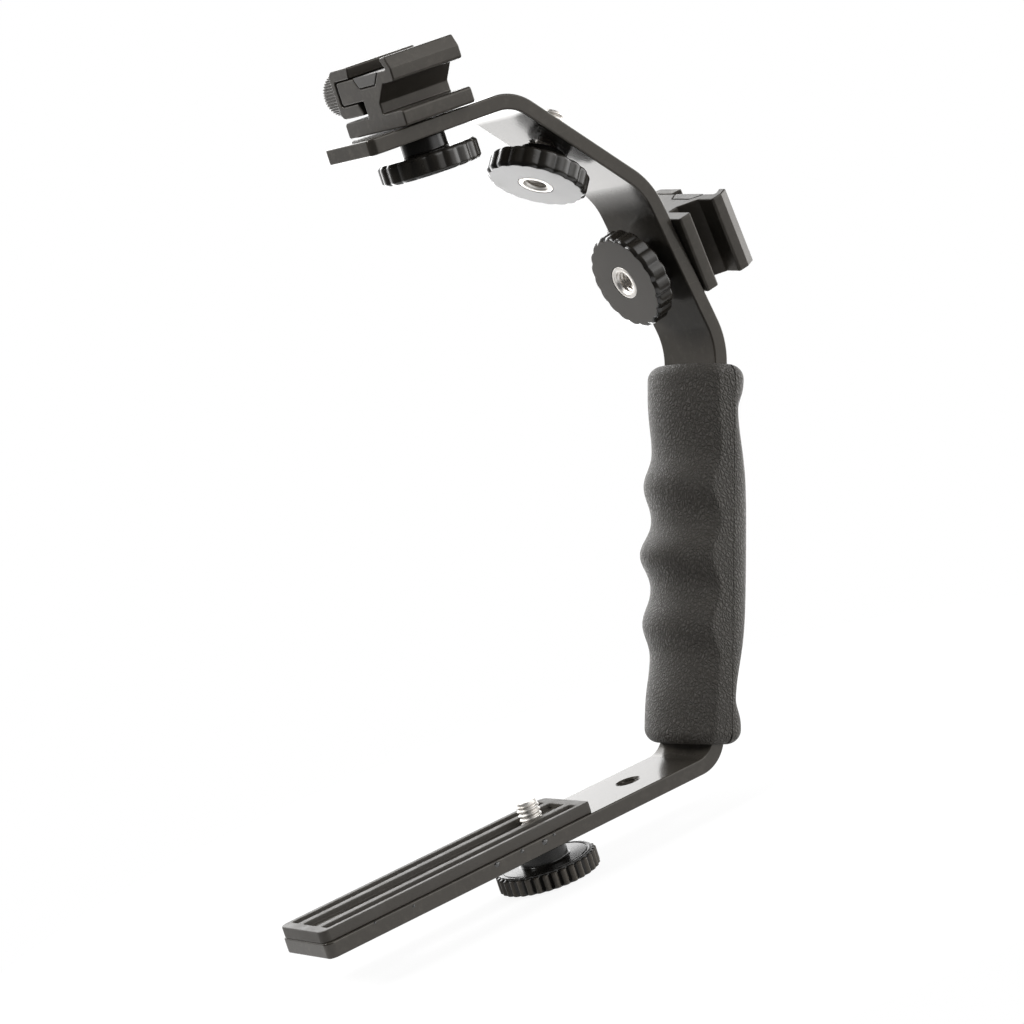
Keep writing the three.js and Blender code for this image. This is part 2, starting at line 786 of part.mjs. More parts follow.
const cameraGroup = new THREE.Group();
cameraGroup.position.x = -screwReach;
cameraGroup.add(meshOf("camera_washer", makeWasher(), colours.washer));
cameraGroup.add(meshOf("camera_screw", makeCameraScrew(), colours.steel));
cameraGroup.add(meshOf("camera_knob", makeCameraKnob(), colours.knob));
bracket.add(cameraGroup);

const gripGroup = runGroup(HANDLE, 0);
const gripHalves = makeGripHalves();
gripGroup.add(meshOf("grip_finger_half", gripHalves.finger, colours.grip));
gripGroup.add(meshOf("grip_palm_half", gripHalves.palm, colours.grip));

const sideGroup = runGroup(SIDE, sideHoleReach);
sideGroup.position.y = sidePlay;
addKnob("side_knob", sideGroup);
addShoe("side_shoe", sideGroup, shoeSwivel);

const spareKnob = addKnob("spare_knob", runGroup(SLOPE, slopeHoleReach));
const lean = new THREE.Vector3(Math.tan(spareLeanAlong), Math.tan(spareLeanAcross), 1).normalize();
const leaning = new THREE.Quaternion().setFromUnitVectors(new THREE.Vector3(0, 0, 1), lean);
const slack = lean.clone().multiplyScalar(spareKnobSlack);
spareKnob.quaternion.multiply(leaning);
spareKnob.position.copy(slack.applyEuler(new THREE.Euler(Math.PI, 0, 0)));

const topGroup = runGroup(UPPER, topHoleReach);
addKnob("top_knob", topGroup);
addShoe("top_shoe", topGroup, 0);

const part = new THREE.Group();
part.add(bracket);

export default part;
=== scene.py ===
# Looks for the L-bracket video grip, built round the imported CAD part.
# Every piece is made in millimetres in the frame of what it belongs to, then placed in the row frame.
import math

import bmesh
import bpy
from mathutils import Euler, Matrix, Vector


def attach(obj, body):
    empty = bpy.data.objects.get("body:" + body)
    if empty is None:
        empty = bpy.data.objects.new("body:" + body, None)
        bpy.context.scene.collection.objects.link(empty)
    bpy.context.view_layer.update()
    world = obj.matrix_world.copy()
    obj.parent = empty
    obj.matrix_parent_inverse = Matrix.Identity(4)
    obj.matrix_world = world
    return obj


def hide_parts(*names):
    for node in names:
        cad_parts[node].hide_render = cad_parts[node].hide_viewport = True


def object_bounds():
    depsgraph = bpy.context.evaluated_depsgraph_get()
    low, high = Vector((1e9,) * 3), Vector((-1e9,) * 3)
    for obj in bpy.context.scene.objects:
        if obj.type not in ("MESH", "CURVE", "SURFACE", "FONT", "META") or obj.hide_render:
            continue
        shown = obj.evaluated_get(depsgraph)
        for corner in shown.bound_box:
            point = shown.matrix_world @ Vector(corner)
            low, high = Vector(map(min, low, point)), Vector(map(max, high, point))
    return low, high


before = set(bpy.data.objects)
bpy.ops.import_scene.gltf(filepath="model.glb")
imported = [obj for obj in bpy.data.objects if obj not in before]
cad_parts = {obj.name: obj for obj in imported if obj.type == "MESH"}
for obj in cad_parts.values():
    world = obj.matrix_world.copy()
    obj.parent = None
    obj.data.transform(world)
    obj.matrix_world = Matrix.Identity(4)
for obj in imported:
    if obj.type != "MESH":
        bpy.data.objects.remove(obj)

CAD_BOX = [list(c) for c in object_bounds()]
MM = 0.001
TAU = math.pi * 2
rad = math.radians

# Sizes, as in the CAD source

BAR_WIDTH, BAR_THICK = 25.0, 4.3
HALF_THICK = BAR_THICK / 2
HEADING = [0.0, rad(68.2), rad(68.2 + 31.4), rad(68.2 + 31.4 + 33.4), math.pi]
REACH = [130.8, 115.4, 47.8, 48.2, 46.8]
BEND = [8.9, 20.9, 19.6, 13.1]
LOWER, HANDLE, SIDE, SLOPE, UPPER = range(5)
GAP, MOULD_GAP = 0.3, 0.1
GRIP_START, GRIP_LENGTH = 4.0, 105.2
SCREW_REACH, SCREW_R, PITCH = 54.9, 3.2, 1.27
SLOT_R = SCREW_R + 0.25
SLOT_NEAR = 0.6 - SCREW_REACH
SLOT_FAR = SLOT_NEAR - 60
SIDE_STUD, SLOPE_STUD, UPPER_STUD = 25.7, 27.9, 23.7
SIDE_SHIFT, SIDE_SWIVEL, SHOE_OFFSET = 0.7, rad(6.5), 1.1
LEAN_ALONG, LEAN_ACROSS, SPARE_DROP = rad(-7.9), rad(-4.3), 1.05

corners = [Vector((-REACH[0], 0.0))]
for heading, reach in zip(HEADING, REACH):
    corners.append(corners[-1] + Vector((math.cos(heading), math.sin(heading))) * reach)


def along(run):
    return Vector((math.cos(HEADING[run]), math.sin(HEADING[run])))


GRIP_MIDDLE = corners[HANDLE] + along(HANDLE) * (GRIP_START + GRIP_LENGTH / 2)


def at_row(x, z):
    """A point of the bar's mid-plane, from its own lower corner, in the row frame in millimetres."""
    return Vector((x - GRIP_MIDDLE.x, 0, z - GRIP_MIDDLE.y))


def frame_matrix(origin, x_axis, y_axis, z_axis):
    m = Matrix((x_axis, y_axis, z_axis)).transposed().to_4x4()
    m.translation = origin
    return m


def inward_frame(run, place):
    """X along the run, Y across, Z inwards, with its origin on the mid-plane."""
    p = corners[run] + along(run) * place
    d = along(run)
    return frame_matrix(at_row(p.x, p.y), (d.x, 0, d.y), (0, 1, 0), (-d.y, 0, d.x))


def outward_frame(run, place):
    """X along the run, Y towards the lip side, Z outwards."""
    return inward_frame(run, place) @ Matrix.Rotation(math.pi, 4, "X")


def shift(x, y, z):
    return Matrix.Translation((x, y, z))


CAMERA_FRAME = shift(*at_row(-SCREW_REACH, 0))
GRIP_FRAME = outward_frame(HANDLE, 0)
SIDE_PLAY = shift(0, SIDE_SHIFT, 0)
SIDE_KNOB_FRAME = SIDE_PLAY @ inward_frame(SIDE, SIDE_STUD)
TOP_KNOB_FRAME = inward_frame(UPPER, UPPER_STUD)
lean = Vector((math.tan(LEAN_ALONG), math.tan(LEAN_ACROSS), 1)).normalized()
SPARE_KNOB_FRAME = (
    inward_frame(SLOPE, SLOPE_STUD)
    @ shift(*(lean * SPARE_DROP))
    @ Vector((0, 0, 1)).rotation_difference(lean).to_matrix().to_4x4()
)


def shoe_frame(run, place, swivel):
    """On the bar's outer face, turned about the stud, whose bore lies off the shoe's middle."""
    on_face = outward_frame(run, place) @ shift(0, 0, HALF_THICK)
    return on_face @ Matrix.Rotation(swivel, 4, "Z") @ shift(SHOE_OFFSET, 0, 0)


SIDE_SHOE_FRAME = SIDE_PLAY @ shoe_frame(SIDE, SIDE_STUD, SIDE_SWIVEL)
TOP_SHOE_FRAME = shoe_frame(UPPER, UPPER_STUD, 0.0)

# Mesh tools

FILLET_LIMIT, MITRE_LIMIT = 0.48, 0.35


def rounded(points, steps, closed=True):
    """An outline with filleted corners: each point is (x, y) or (x, y, radius). Returns (x, y, edge)."""
    out = []
    count = len(points)
    for i, point in enumerate(points):
        here = Vector(point[:2])
        r = point[2] if len(point) > 2 else 0
        if r <= 0 or (not closed and i in (0, count - 1)):
            out.append((here.x, here.y, 0.0))
            continue
        before = Vector(points[i - 1][:2]) - here
        after = Vector(points[(i + 1) % count][:2]) - here
        half = before.angle(after) / 2
        longest = min(before.length, after.length) * FILLET_LIMIT
        setback = min(r / math.tan(half), longest)
        r = setback * math.tan(half)
        u, v = before.normalized(), after.normalized()
        centre = here + (u + v).normalized() * (r / math.sin(half))
        a = here + u * setback - centre
        b = here + v * setback - centre
        start = math.atan2(a.y, a.x)
        turn = (math.atan2(b.y, b.x) - start + math.pi) % TAU - math.pi
        for k in range(steps + 1):
            t = start + turn * k / steps
            edge = 1.0 if 0 < k < steps else 0.5
            out.append((centre.x + r * math.cos(t), centre.y + r * math.sin(t), edge))
    return out


def inset_outline(outline, amount):
    """Moves each point of a counter-clockwise closed outline inwards."""
    out = []
    count = len(outline)
    for i in range(count):
        here = Vector(outline[i][:2])
        a = (here - Vector(outline[i - 1][:2])).normalized()
        b = (Vector(outline[(i + 1) % count][:2]) - here).normalized()
        na, nb = Vector((-a.y, a.x)), Vector((-b.y, b.x))
        mid = (na + nb).normalized()
        here = here + mid * (amount / max(mid.dot(na), MITRE_LIMIT))
        out.append((here.x, here.y, outline[i][2]))
    return out


def counter_clockwise(outline):
    """The outline, turned about if it runs clockwise."""
    twice_area = sum(
        outline[i - 1][0] * outline[i][1] - outline[i][0] * outline[i - 1][1]
        for i in range(len(outline))
    )
    return outline[::-1] if twice_area < 0 else outline


def make(name, verts, faces, edges):
    """A mesh object from millimetre points, each with a value for how far it lies on a worn edge."""
    mesh = bpy.data.meshes.new(name)
    mesh.from_pydata([(x * MM, y * MM, z * MM) for x, y, z in verts], [], faces)
    mesh.validate()
    layer = mesh.attributes.new("edge", "FLOAT", "POINT")
    layer.data.foreach_set("value", edges)
    obj = bpy.data.objects.new(name, mesh)
    bpy.context.scene.collection.objects.link(obj)
    return obj


def skin(name, rows, caps=True):
    """Quads between rows of (x, y, z, edge); a row of one point closes the surface there."""
    verts, edges, starts = [], [], []
    for row in rows:
        starts.append(len(verts))
        verts += [p[:3] for p in row]
        edges += [p[3] if len(p) > 3 else 0.0 for p in row]
    faces = []
    for k in range(len(rows) - 1):
        a, b = rows[k], rows[k + 1]
        n = max(len(a), len(b))
        for i in range(n):
            j = (i + 1) % n
            p, q = starts[k] + i, starts[k] + j
            s, t = starts[k + 1] + i, starts[k + 1] + j
            if len(a) == 1:
                faces.append((starts[k], t, s))
            elif len(b) == 1:
                faces.append((p, q, starts[k + 1]))
            else:
                faces.append((p, q, t, s))
    if caps and len(rows[0]) > 1:
        faces.append(tuple(range(len(rows[0]) - 1, -1, -1)))
    if caps and len(rows[-1]) > 1:
        faces.append(tuple(starts[-1] + i for i in range(len(rows[-1]))))
    return make(name, verts, faces, edges)


def turn_out(obj):
    """Makes the faces of a closed mesh point outwards."""
    bm = bmesh.new()
    bm.from_mesh(obj.data)
    bmesh.ops.recalc_face_normals(bm, faces=bm.faces)
    bm.to_mesh(obj.data)
    bm.free()
    return obj


def finish_mesh(obj, angle=38):
    """Outward faces, smooth shading, sharp edges above the angle and weighted normals."""
    turn_out(obj)
    obj.data.polygons.foreach_set("use_smooth", [True] * len(obj.data.polygons))
    obj.data.set_sharp_from_angle(angle=rad(angle))
    weighted = obj.modifiers.new("weighted", "WEIGHTED_NORMAL")
    weighted.keep_sharp = True
    weighted.weight = 60
    return obj


def cut(obj, *tools):
    """Cuts tools out of an object and keeps the result as its mesh."""
    turn_out(obj)
    for tool in tools:
        turn_out(tool)
        modifier = obj.modifiers.new("cut", "BOOLEAN")
        modifier.operation = "DIFFERENCE"
        modifier.solver = "EXACT"
        modifier.object = tool
    graph = bpy.context.evaluated_depsgraph_get()
    mesh = bpy.data.meshes.new_from_object(obj.evaluated_get(graph))
    obj.modifiers.clear()
    old = obj.data
    obj.data = mesh
    bpy.data.meshes.remove(old)
    for tool in tools:
        bpy.data.objects.remove(tool)
    return obj


def turned(name, profile, sides, shape=None, loop=False):
    """A solid of revolution about Z. A profile point is (radius, z), and may go on with its edge wear
    and with a function that gives the radius by turn and height."""
    rows = []
    for point in profile:
        r, z = point[0], point[1]
        edge = point[2] if len(point) > 2 else 0.0
        radius_at = point[3] if len(point) > 3 else None
        if r < 1e-6:
            rows.append([(0, 0, z, edge)])
            continue
        row = []
        for i in range(sides):
            t = TAU * i / sides
            here = radius_at(t, z) if radius_at else r
            if shape:
                here = shape(here, t, z)
            row.append((here * math.cos(t), here * math.sin(t), z, edge))
        rows.append(row)
    if loop:
        return weld(skin(name, rows + rows[:1], caps=False))
    return skin(name, rows, caps=False)


def weld(obj):
    """Joins the points that lie on each other, where a loop of rows closes."""
    bm = bmesh.new()
    bm.from_mesh(obj.data)
    bmesh.ops.remove_doubles(bm, verts=bm.verts, dist=2e-6)
    bm.to_mesh(obj.data)
    bm.free()
    return obj


def extruded(name, outline, x0, x1, end_round, steps=3):
    """A profile in Y-Z, run along X, with its end edges rounded."""
    outline = counter_clockwise(outline)
    rows = []
    for side in (0, 1):
        order = range(steps + 1) if side == 0 else range(steps, -1, -1)
        for k in order:
            t = k / steps * math.pi / 2
            amount = end_round * (1 - math.sin(t))
            offset = end_round * (1 - math.cos(t))
            x = x0 + offset if side == 0 else x1 - offset
            edge = 1.0 if k < steps else 0.4
            rows.append([(x, p[0], p[1], max(edge, p[2])) for p in inset_outline(outline, amount)])
    return skin(name, rows)


def stadium(x0, x1, r, z):
    """An outline with two round ends, about the X axis."""
    steps = 14
    out = []
    for k in range(steps + 1):
        t = -math.pi / 2 + math.pi * k / steps
        out.append((x1 + r * math.cos(t), r * math.sin(t), z))
    for k in range(steps + 1):
        t = math.pi / 2 + math.pi * k / steps
        out.append((x0 + r * math.cos(t), r * math.sin(t), z))
    return out


def transformed(obj, matrix):
    """Moves the points of an object by a matrix given in millimetres."""
    m = matrix.copy()
    m.translation = m.translation * MM
    obj.data.transform(m)
    return obj


def thread(crest, depth, pitch, inner):
    """The radius of a screw thread at a turn and a height, with a narrow flat on crest and root."""
    flat = 0.08

    def radius(turn, z):
        phase = (z / pitch - turn / TAU) % 1.0
        ramp = min(max((abs(2 * phase - 1) - flat) / (1 - 2 * flat), 0), 1)
        ramp = ramp * ramp * (3 - 2 * ramp)
        return crest + depth * ramp if inner else crest - depth * ramp

    return radius


def thread_rows(z0, z1, crest, depth, fade, pitch=PITCH, inner=False, steps=9):
    """Profile rows of a thread between two heights; it runs out over the fade at the second one."""
    count = max(2, int(abs(z1 - z0) / pitch * steps))
    rows = []
    for k in range(count + 1):
        z = z0 + (z1 - z0) * k / count
        left = abs(z1 - z) / max(fade, 1e-6)
        rows.append((crest, z, 0.0, thread(crest, depth * min(left, 1.0), pitch, inner)))
    return rows


def lobes(core, radius, depth, count, softness, reach=1.6):
    """Draws a rim in between its lobes, from nothing at the core radius; the bevels follow the lobes."""
    low = math.sqrt(1 + softness**2) - softness

    def shape(r, turn, z):
        s = math.sin(count * turn / 2)
        lobe = (math.sqrt(s * s + softness**2) - softness) / low
        share = min(max((r - core) / (radius - core) * reach, 0), 1)
        return r - depth * (1 - lobe) * share

    return shape


def teeth(core, radius, depth, count):
    """Draws a rim in between evenly rounded ribs, from nothing at the core radius."""

    def shape(r, turn, z):
        share = min(max((r - core) / (radius - core) * 1.6, 0), 1)
        return r - depth * math.cos(count * turn / 2) ** 2 * share

    return shape


def place(obj, matrix, body, nodes, slot, material, baked=False):
    """Sets a piece at its frame, on its body, in the stead of the CAD nodes that it shows.

    A baked piece has the frame in its points, so that its own box stays square to the row."""
    if baked:
        transformed(obj, matrix)
        matrix = Matrix.Identity(4)
    m = matrix.copy()
    m.translation = m.translation * MM
    obj.matrix_world = m
    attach(obj, body)
    if nodes:
        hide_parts(*nodes)
    obj.data.materials.clear()
    obj.data.materials.append(material)
    return obj


def fine_profile(profile, step, beyond):
    """Adds rows along a profile's straight stretches past a radius, so that ribs follow them."""
    out = [profile[0]]
    for a, b in zip(profile, profile[1:]):
        pieces = 1
        if min(a[0], b[0]) > beyond:
            pieces = max(1, min(int(math.dist(a[:2], b[:2]) / step), 12))
        for k in range(1, pieces + 1):
            f = k / pieces
            point = tuple(p + (q - p) * f for p, q in zip(a[:2], b[:2]))
            out.append(point + (tuple(b[2:]) if k == pieces else (0.0,)))
    return out


def round_drop(distance, radius):
    """How far a corner rounded to a radius has drawn in, at a distance from the end."""
    return radius - math.sqrt(max(radius**2 - max(radius - distance, 0) ** 2, 0))


# Materials


def set_input(tree, socket, value):
    if isinstance(value, bpy.types.NodeSocket):
        tree.links.new(value, socket)
    else:
        socket.default_value = value


def add_node(tree, kind, inputs=None, **settings):
    """Adds a node with its settings; an input is a number, a colour or another node's socket."""
    node = tree.nodes.new(kind)
    for key, value in settings.items():
        setattr(node, key, value)
    for key, value in (inputs or {}).items():
        set_input(tree, node.inputs[key], value)
    return node


def math_node(tree, operation, a, b):
    """The result of a math node."""
    return add_node(tree, "ShaderNodeMath", {0: a, 1: b}, operation=operation).outputs[0]


class Nodes:
    """Short calls for a material's node tree."""

    def __init__(self, name):
        self.material = bpy.data.materials.new(name)
        self.material.use_nodes = True
        self.tree = self.material.node_tree
        self.shader = self.tree.nodes["Principled BSDF"]
        self.coordinates = self.tree.nodes.new("ShaderNodeTexCoord").outputs["Object"]

    def add(self, kind, inputs=None, **settings):
        return add_node(self.tree, kind, inputs, **settings)

    def scaled(self, scale):
        n = self.add("ShaderNodeMapping", {"Scale": scale, "Vector": self.coordinates})
        return n.outputs["Vector"]

    def noise(self, scale, detail, rough=0.55, vector=None):
        inputs = {"Scale": scale, "Detail": detail, "Roughness": rough}
        inputs["Vector"] = vector or self.coordinates
        return self.add("ShaderNodeTexNoise", inputs).outputs["Fac"]

    def cells(self, scale, vector):
        """The distance to the nearest edge between irregular cells."""
        n = self.add("ShaderNodeTexVoronoi", {"Scale": scale, "Vector": vector}, feature="DISTANCE_TO_EDGE")
        return n.outputs["Distance"]

    def remap(self, value, a, b, c=0.0, d=1.0, smooth=False):
        inputs = {"Value": value, "From Min": a, "From Max": b, "To Min": c, "To Max": d}
        ramp = "SMOOTHSTEP" if smooth else "LINEAR"
        return self.add("ShaderNodeMapRange", inputs, interpolation_type=ramp).outputs["Result"]

    def math(self, operation, a, b=0.0):
        return math_node(self.tree, operation, a, b)

    def mix(self, factor, a, b):
        """A colour between two others."""
        return self.add("ShaderNodeMix", {0: factor, 6: a, 7: b}, data_type="RGBA").outputs[2]

    def attribute(self, name):
        return self.add("ShaderNodeAttribute", attribute_name=name).outputs["Fac"]

    def bump(self, height, strength, distance, normal=None):
        inputs = {"Strength": strength, "Distance": distance, "Height": height}
        if normal:
            inputs["Normal"] = normal
        return self.add("ShaderNodeBump", inputs).outputs["Normal"]

    def axis(self, index):
        return self.add("ShaderNodeSeparateXYZ", {"Vector": self.coordinates}).outputs[index]

    def radius(self):
        """The distance from the Z axis."""
        x, y = (self.math("POWER", self.axis(index), 2.0) for index in (0, 1))
        return self.math("SQRT", self.math("ADD", x, y))

    def done(self, color, roughness, normal, metallic=0.0, ior=None):
        for key, value in (("Base Color", color), ("Roughness", roughness), ("Normal", normal)):
            set_input(self.tree, self.shader.inputs[key], value)
        self.shader.inputs["Metallic"].default_value = metallic
        if ior:
            self.shader.inputs["IOR"].default_value = ior
        return self.material


def grey(value, warm=0.03):
    """A slightly warm grey, as a linear colour."""
    return (value * (1 + warm), value, value * (1 - warm * 1.3), 1)


def coated_metal(name, tone, rough, stretch, metallic):
    """Dark satin coating with orange peel, faint handling marks and a little rubbing along the edges."""
    n = Nodes(name)
    patch = n.noise(45, 3)
    fine = n.noise(2600, 3, 0.6)
    peel = n.noise(620, 2, 0.5)
    marks = n.noise(60, 5, 0.65, n.scaled(stretch))
    lines = n.noise(900, 2, 0.5, n.scaled((0.06, 1, 1)))
    scratch = n.remap(lines, 0.71, 0.76)
    worn = n.math("MULTIPLY", n.attribute("edge"), n.remap(n.noise(330, 5, 0.7), 0.50, 0.70))
    color = n.mix(n.remap(patch, 0.3, 0.7), grey(tone * 0.92, 0.12), grey(tone * 1.08, 0.12))
    color = n.mix(n.math("MULTIPLY", scratch, 0.2), color, grey(tone * 1.9, 0.12))
    color = n.mix(n.math("MULTIPLY", worn, 0.35), color, grey(tone * 2.4, 0.12))
    handled = n.remap(marks, 0.3, 0.75, rough * 0.9, rough * 1.15)
    roughness = n.math("ADD", handled, n.math("MULTIPLY", fine, 0.03))
    normal = n.bump(peel, 0.05, 0.0002)
    normal = n.bump(fine, 0.10, 0.00005, normal)
    normal = n.bump(scratch, 0.05, 0.00004, normal)
    return n.done(color, roughness, normal, metallic, 1.5)


def pad_rubber():
    """Moulded black rubber: fine mould texture, specks of dust, paler rubbed rib tops."""
    n = Nodes("pad_rubber")
    grain = n.noise(2400, 4, 0.6)
    drag = n.noise(1500, 3, 0.6, n.scaled((0.12, 1, 1)))
    dust = n.remap(n.noise(700, 5, 0.75), 0.60, 0.74)
    rubbed = n.math("MULTIPLY", n.attribute("edge"), n.remap(n.noise(160, 4), 0.4, 0.65))
    color = n.mix(n.noise(60, 3), grey(0.059, 0.12), grey(0.073, 0.12))
    color = n.mix(n.math("MULTIPLY", dust, 0.10), color, grey(0.14, 0.08))
    color = n.mix(n.math("MULTIPLY", rubbed, 0.35), color, grey(0.12))
    roughness = n.remap(n.noise(180, 4), 0.3, 0.7, 0.46, 0.58)
    normal = n.bump(grain, 0.16, 0.00008)
    normal = n.bump(drag, 0.12, 0.0001, normal)
    return n.done(color, roughness, normal)


def grip_leather():
    """Moulded leather grain: irregular raised cells with fine creases between them, with painted shade
    darkening the creases.
    """
    n = Nodes("grip_leather")
    wobble = n.add("ShaderNodeTexNoise", {"Scale": 340, "Detail": 2, "Vector": n.coordinates})
    middle = {0: wobble.outputs["Color"], 1: (0.5, 0.5, 0.5)}
    push = n.add("ShaderNodeVectorMath", middle, operation="SUBTRACT")
    small = n.add("ShaderNodeVectorMath", {0: push.outputs[0], "Scale": 0.0011}, operation="SCALE")
    moved = n.add("ShaderNodeVectorMath", {0: n.coordinates, 1: small.outputs[0]}, operation="ADD")
    slant = {"Rotation": (0.2, 0.6, 0.5), "Scale": (1.7, 1.0, 1.0), "Vector": moved.outputs[0]}
    slanted = n.add("ShaderNodeMapping", slant, vector_type="TEXTURE").outputs["Vector"]
    large = n.remap(n.cells(1040, slanted), 0.0, 0.34, smooth=True)
    fine = n.remap(n.cells(2200, slanted), 0.0, 0.40, smooth=True)
    swell = n.noise(240, 3)
    height = n.math("ADD", n.math("MULTIPLY", large, 0.7), n.math("MULTIPLY", fine, 0.3))
    color = n.mix(n.remap(n.noise(90, 4), 0.3, 0.7), grey(0.066, 0.12), grey(0.080, 0.12))
    # Painted shade: the colour darkens towards grey 0.026 down in the creases between the cells, where
    # shade falls.
    color = n.mix(n.math("MULTIPLY", n.math("SUBTRACT", 1.0, height), 0.6), color, grey(0.026, 0.12))
    roughness = n.remap(height, 0.1, 0.9, 0.64, 0.50)
    normal = n.bump(swell, 0.15, 0.0003)
    normal = n.bump(height, 0.95, 0.00034, normal)
    normal = n.bump(n.noise(5200, 2), 0.10, 0.00004, normal)
    return n.done(color, roughness, normal, ior=1.5)


def knob_plastic(
    name, face_from, face_to, tone=0.018, face_tone=0.074, lit_crest_tone=0.03, rib_foot=13.2, rib_dull=0.06,
    ior=1.55,
):
    """Glossy moulded plastic: a paler satin hand face between two heights, and ribs, past a radius,
    that fingers have dulled. The ribs' paler colour also starts only past that radius, so the valleys
    between them keep the dark colour: painted shade in the valleys."""
    n = Nodes(name)
    # Painted shade in the rib valleys: this mask is 1 on the crests and 0 down in the valleys, and sets the
    # colour as well as the dulling.
    ribs = n.remap(n.radius(), rib_foot * MM, (rib_foot + 0.75) * MM, smooth=True)
    z = n.axis(2)
    face = n.remap(z, face_from * MM, face_to * MM)
    swirl = n.noise(1400, 3, 0.6, n.scaled((1, 0.15, 1)))
    grain = n.noise(3200, 3, 0.6)
    specks = n.remap(n.noise(1300, 4, 0.7), 0.66, 0.72)
    handled = n.noise(130, 5, 0.6)
    rim_color = n.mix(handled, grey(tone * 0.9, 0.11), grey(tone * 1.15, 0.11))
    face_color = n.mix(handled, grey(face_tone * 0.94, 0.12), grey(face_tone * 1.06, 0.12))
    # Painted shade: the paler crest colour fades in only past the crest radius, so the valleys between the
    # ribs stay dark.
    lit_crest_color = n.mix(handled, grey(lit_crest_tone * 0.85, 0.14), grey(lit_crest_tone * 1.2, 0.14))
    color = n.mix(face, n.mix(ribs, rim_color, lit_crest_color), face_color)
    color = n.mix(n.math("MULTIPLY", specks, 0.10), color, grey(0.12))
    worn = n.math("MULTIPLY", n.attribute("edge"), n.remap(n.noise(420, 4, 0.7), 0.5, 0.7))
    color = n.mix(n.math("MULTIPLY", worn, 0.15), color, grey(0.06))
    gloss = n.remap(handled, 0.3, 0.75, 0.16, 0.24)
    satin = n.remap(handled, 0.3, 0.75, 0.30, 0.36)
    rim_rough = n.math("ADD", gloss, n.math("MULTIPLY", ribs, rib_dull))
    blend = n.add("ShaderNodeMix", {0: face, 2: rim_rough, 3: satin}, data_type="FLOAT")
    normal = n.bump(swirl, 0.05, 0.0001)
    normal = n.bump(grain, 0.08, 0.00005, normal)
    return n.done(color, blend.outputs[0], normal, ior=ior)


def plated_steel():
    """Bright plating with turning marks round the axis, stains and dull patches."""
    n = Nodes("plated_steel")
    rings_at = n.add("ShaderNodeCombineXYZ", {0: n.radius(), 2: n.axis(2)})
    rings = n.noise(9000, 2, 0.5, rings_at.outputs[0])
    stain = n.noise(500, 4, 0.65)
    color = n.mix(n.remap(stain, 0.35, 0.75), grey(0.92, 0.03), grey(0.76, 0.05))
    roughness = n.math("ADD", n.remap(stain, 0.3, 0.7, 0.38, 0.50), n.math("MULTIPLY", rings, 0.08))
    normal = n.bump(rings, 0.10, 0.00003)
    return n.done(color, roughness, normal, 1.0)


def insert_metal():
    """Satin grey strip with extrusion lines and rubbed patches."""
    n = Nodes("insert_metal")
    lines = n.noise(1800, 3, 0.6, n.scaled((0.05, 1, 1)))
    patch = n.noise(160, 4)
    color = n.mix(patch, grey(0.036, 0.05), grey(0.056, 0.05))
    color = n.mix(n.math("MULTIPLY", n.attribute("edge"), 0.4), color, grey(0.25))
    normal = n.bump(lines, 0.25, 0.00008)
    return n.done(color, n.remap(lines, 0.3, 0.7, 0.32, 0.48), normal, 0.6)


def washer_plastic():
    """Dull black plastic with a fine grain."""
    n = Nodes("washer_plastic")
    grain = n.noise(2200, 4, 0.65)
    color = n.mix(n.noise(300, 3), grey(0.02), grey(0.034))
    return n.done(color, n.remap(grain, 0.3, 0.7, 0.45, 0.62), n.bump(grain, 0.2, 0.00006))


def glue():
    """A drop of clear glue that shows the dark coat under it, slightly cloudy."""
    n = Nodes("glue")
    cloud = n.noise(1800, 4)
    color = n.mix(cloud, grey(0.02, 0.06), grey(0.05, 0.06))
    return n.done(color, n.remap(cloud, 0.3, 0.7, 0.04, 0.10), n.bump(cloud, 0.05, 0.0001), ior=1.8)


BAR_COAT = coated_metal("bar_coat", 0.067, 0.16, (1, 0.3, 1), 0.25)
SHOE_METAL = coated_metal("shoe_metal", 0.061, 0.34, (0.2, 1, 1), 0.35)
LOCK_METAL = coated_metal("lock_metal", 0.055, 0.28, (1, 1, 0.3), 0.35)
PAD_RUBBER = pad_rubber()
GRIP_LEATHER = grip_leather()
STEEL = plated_steel()
INSERT_METAL = insert_metal()
WASHER = washer_plastic()
GLUE = glue()

# Bar

LOWER_CORNER, UPPER_CORNER, BAR_SOFT = 2.5, 2.2, 0.5
END_STEPS = [0.002, 0.03, 0.12, 0.28, 0.5, 0.75, 1.1, 1.6, 2.1, 2.6]
BEND_STEPS = 18
FAR_FROM_END = 99.0
TRIPOD_REACH, TRIPOD_R, TRIPOD_THREAD = REACH[0] - 22.2, 3.27, 0.62
STUD_HOLE_R = 4.1
BEYOND = 2


def bar_path():
    """Points of the mid-plane with their headings and the distance from the nearer end."""
    points = [(corners[0] + Vector((d, 0)), HEADING[0], d) for d in END_STEPS]
    for bend in range(4):
        turn = HEADING[bend + 1] - HEADING[bend]
        setback = BEND[bend] * math.tan(turn / 2)
        d = along(bend)
        inward = Vector((-d.y, d.x))
        centre = corners[bend + 1] - d * setback + inward * BEND[bend]
        for k in range(BEND_STEPS + 1):
            a = HEADING[bend] + turn * k / BEND_STEPS
            p = centre + Vector((math.sin(a), -math.cos(a))) * BEND[bend]
            points.append((p, a, FAR_FROM_END))
    points += [(corners[5] + Vector((d, 0)), HEADING[4], d) for d in reversed(END_STEPS)]
    return points


def slot_cutter():
    """A cutter for the camera slot, with both of its rims chamfered."""
    chamfer = 0.3
    face, out = HALF_THICK - chamfer, HALF_THICK + BEYOND
    rows = []
    for z, grow in ((-out, chamfer + BEYOND), (-face, 0), (face, 0), (out, chamfer + BEYOND)):
        outline = stadium(SLOT_FAR, SLOT_NEAR, SLOT_R + grow, z)
        rows.append([tuple(at_row(x, height) + Vector((0, y, 0))) for x, y, height in outline])
    return skin("tool", rows)


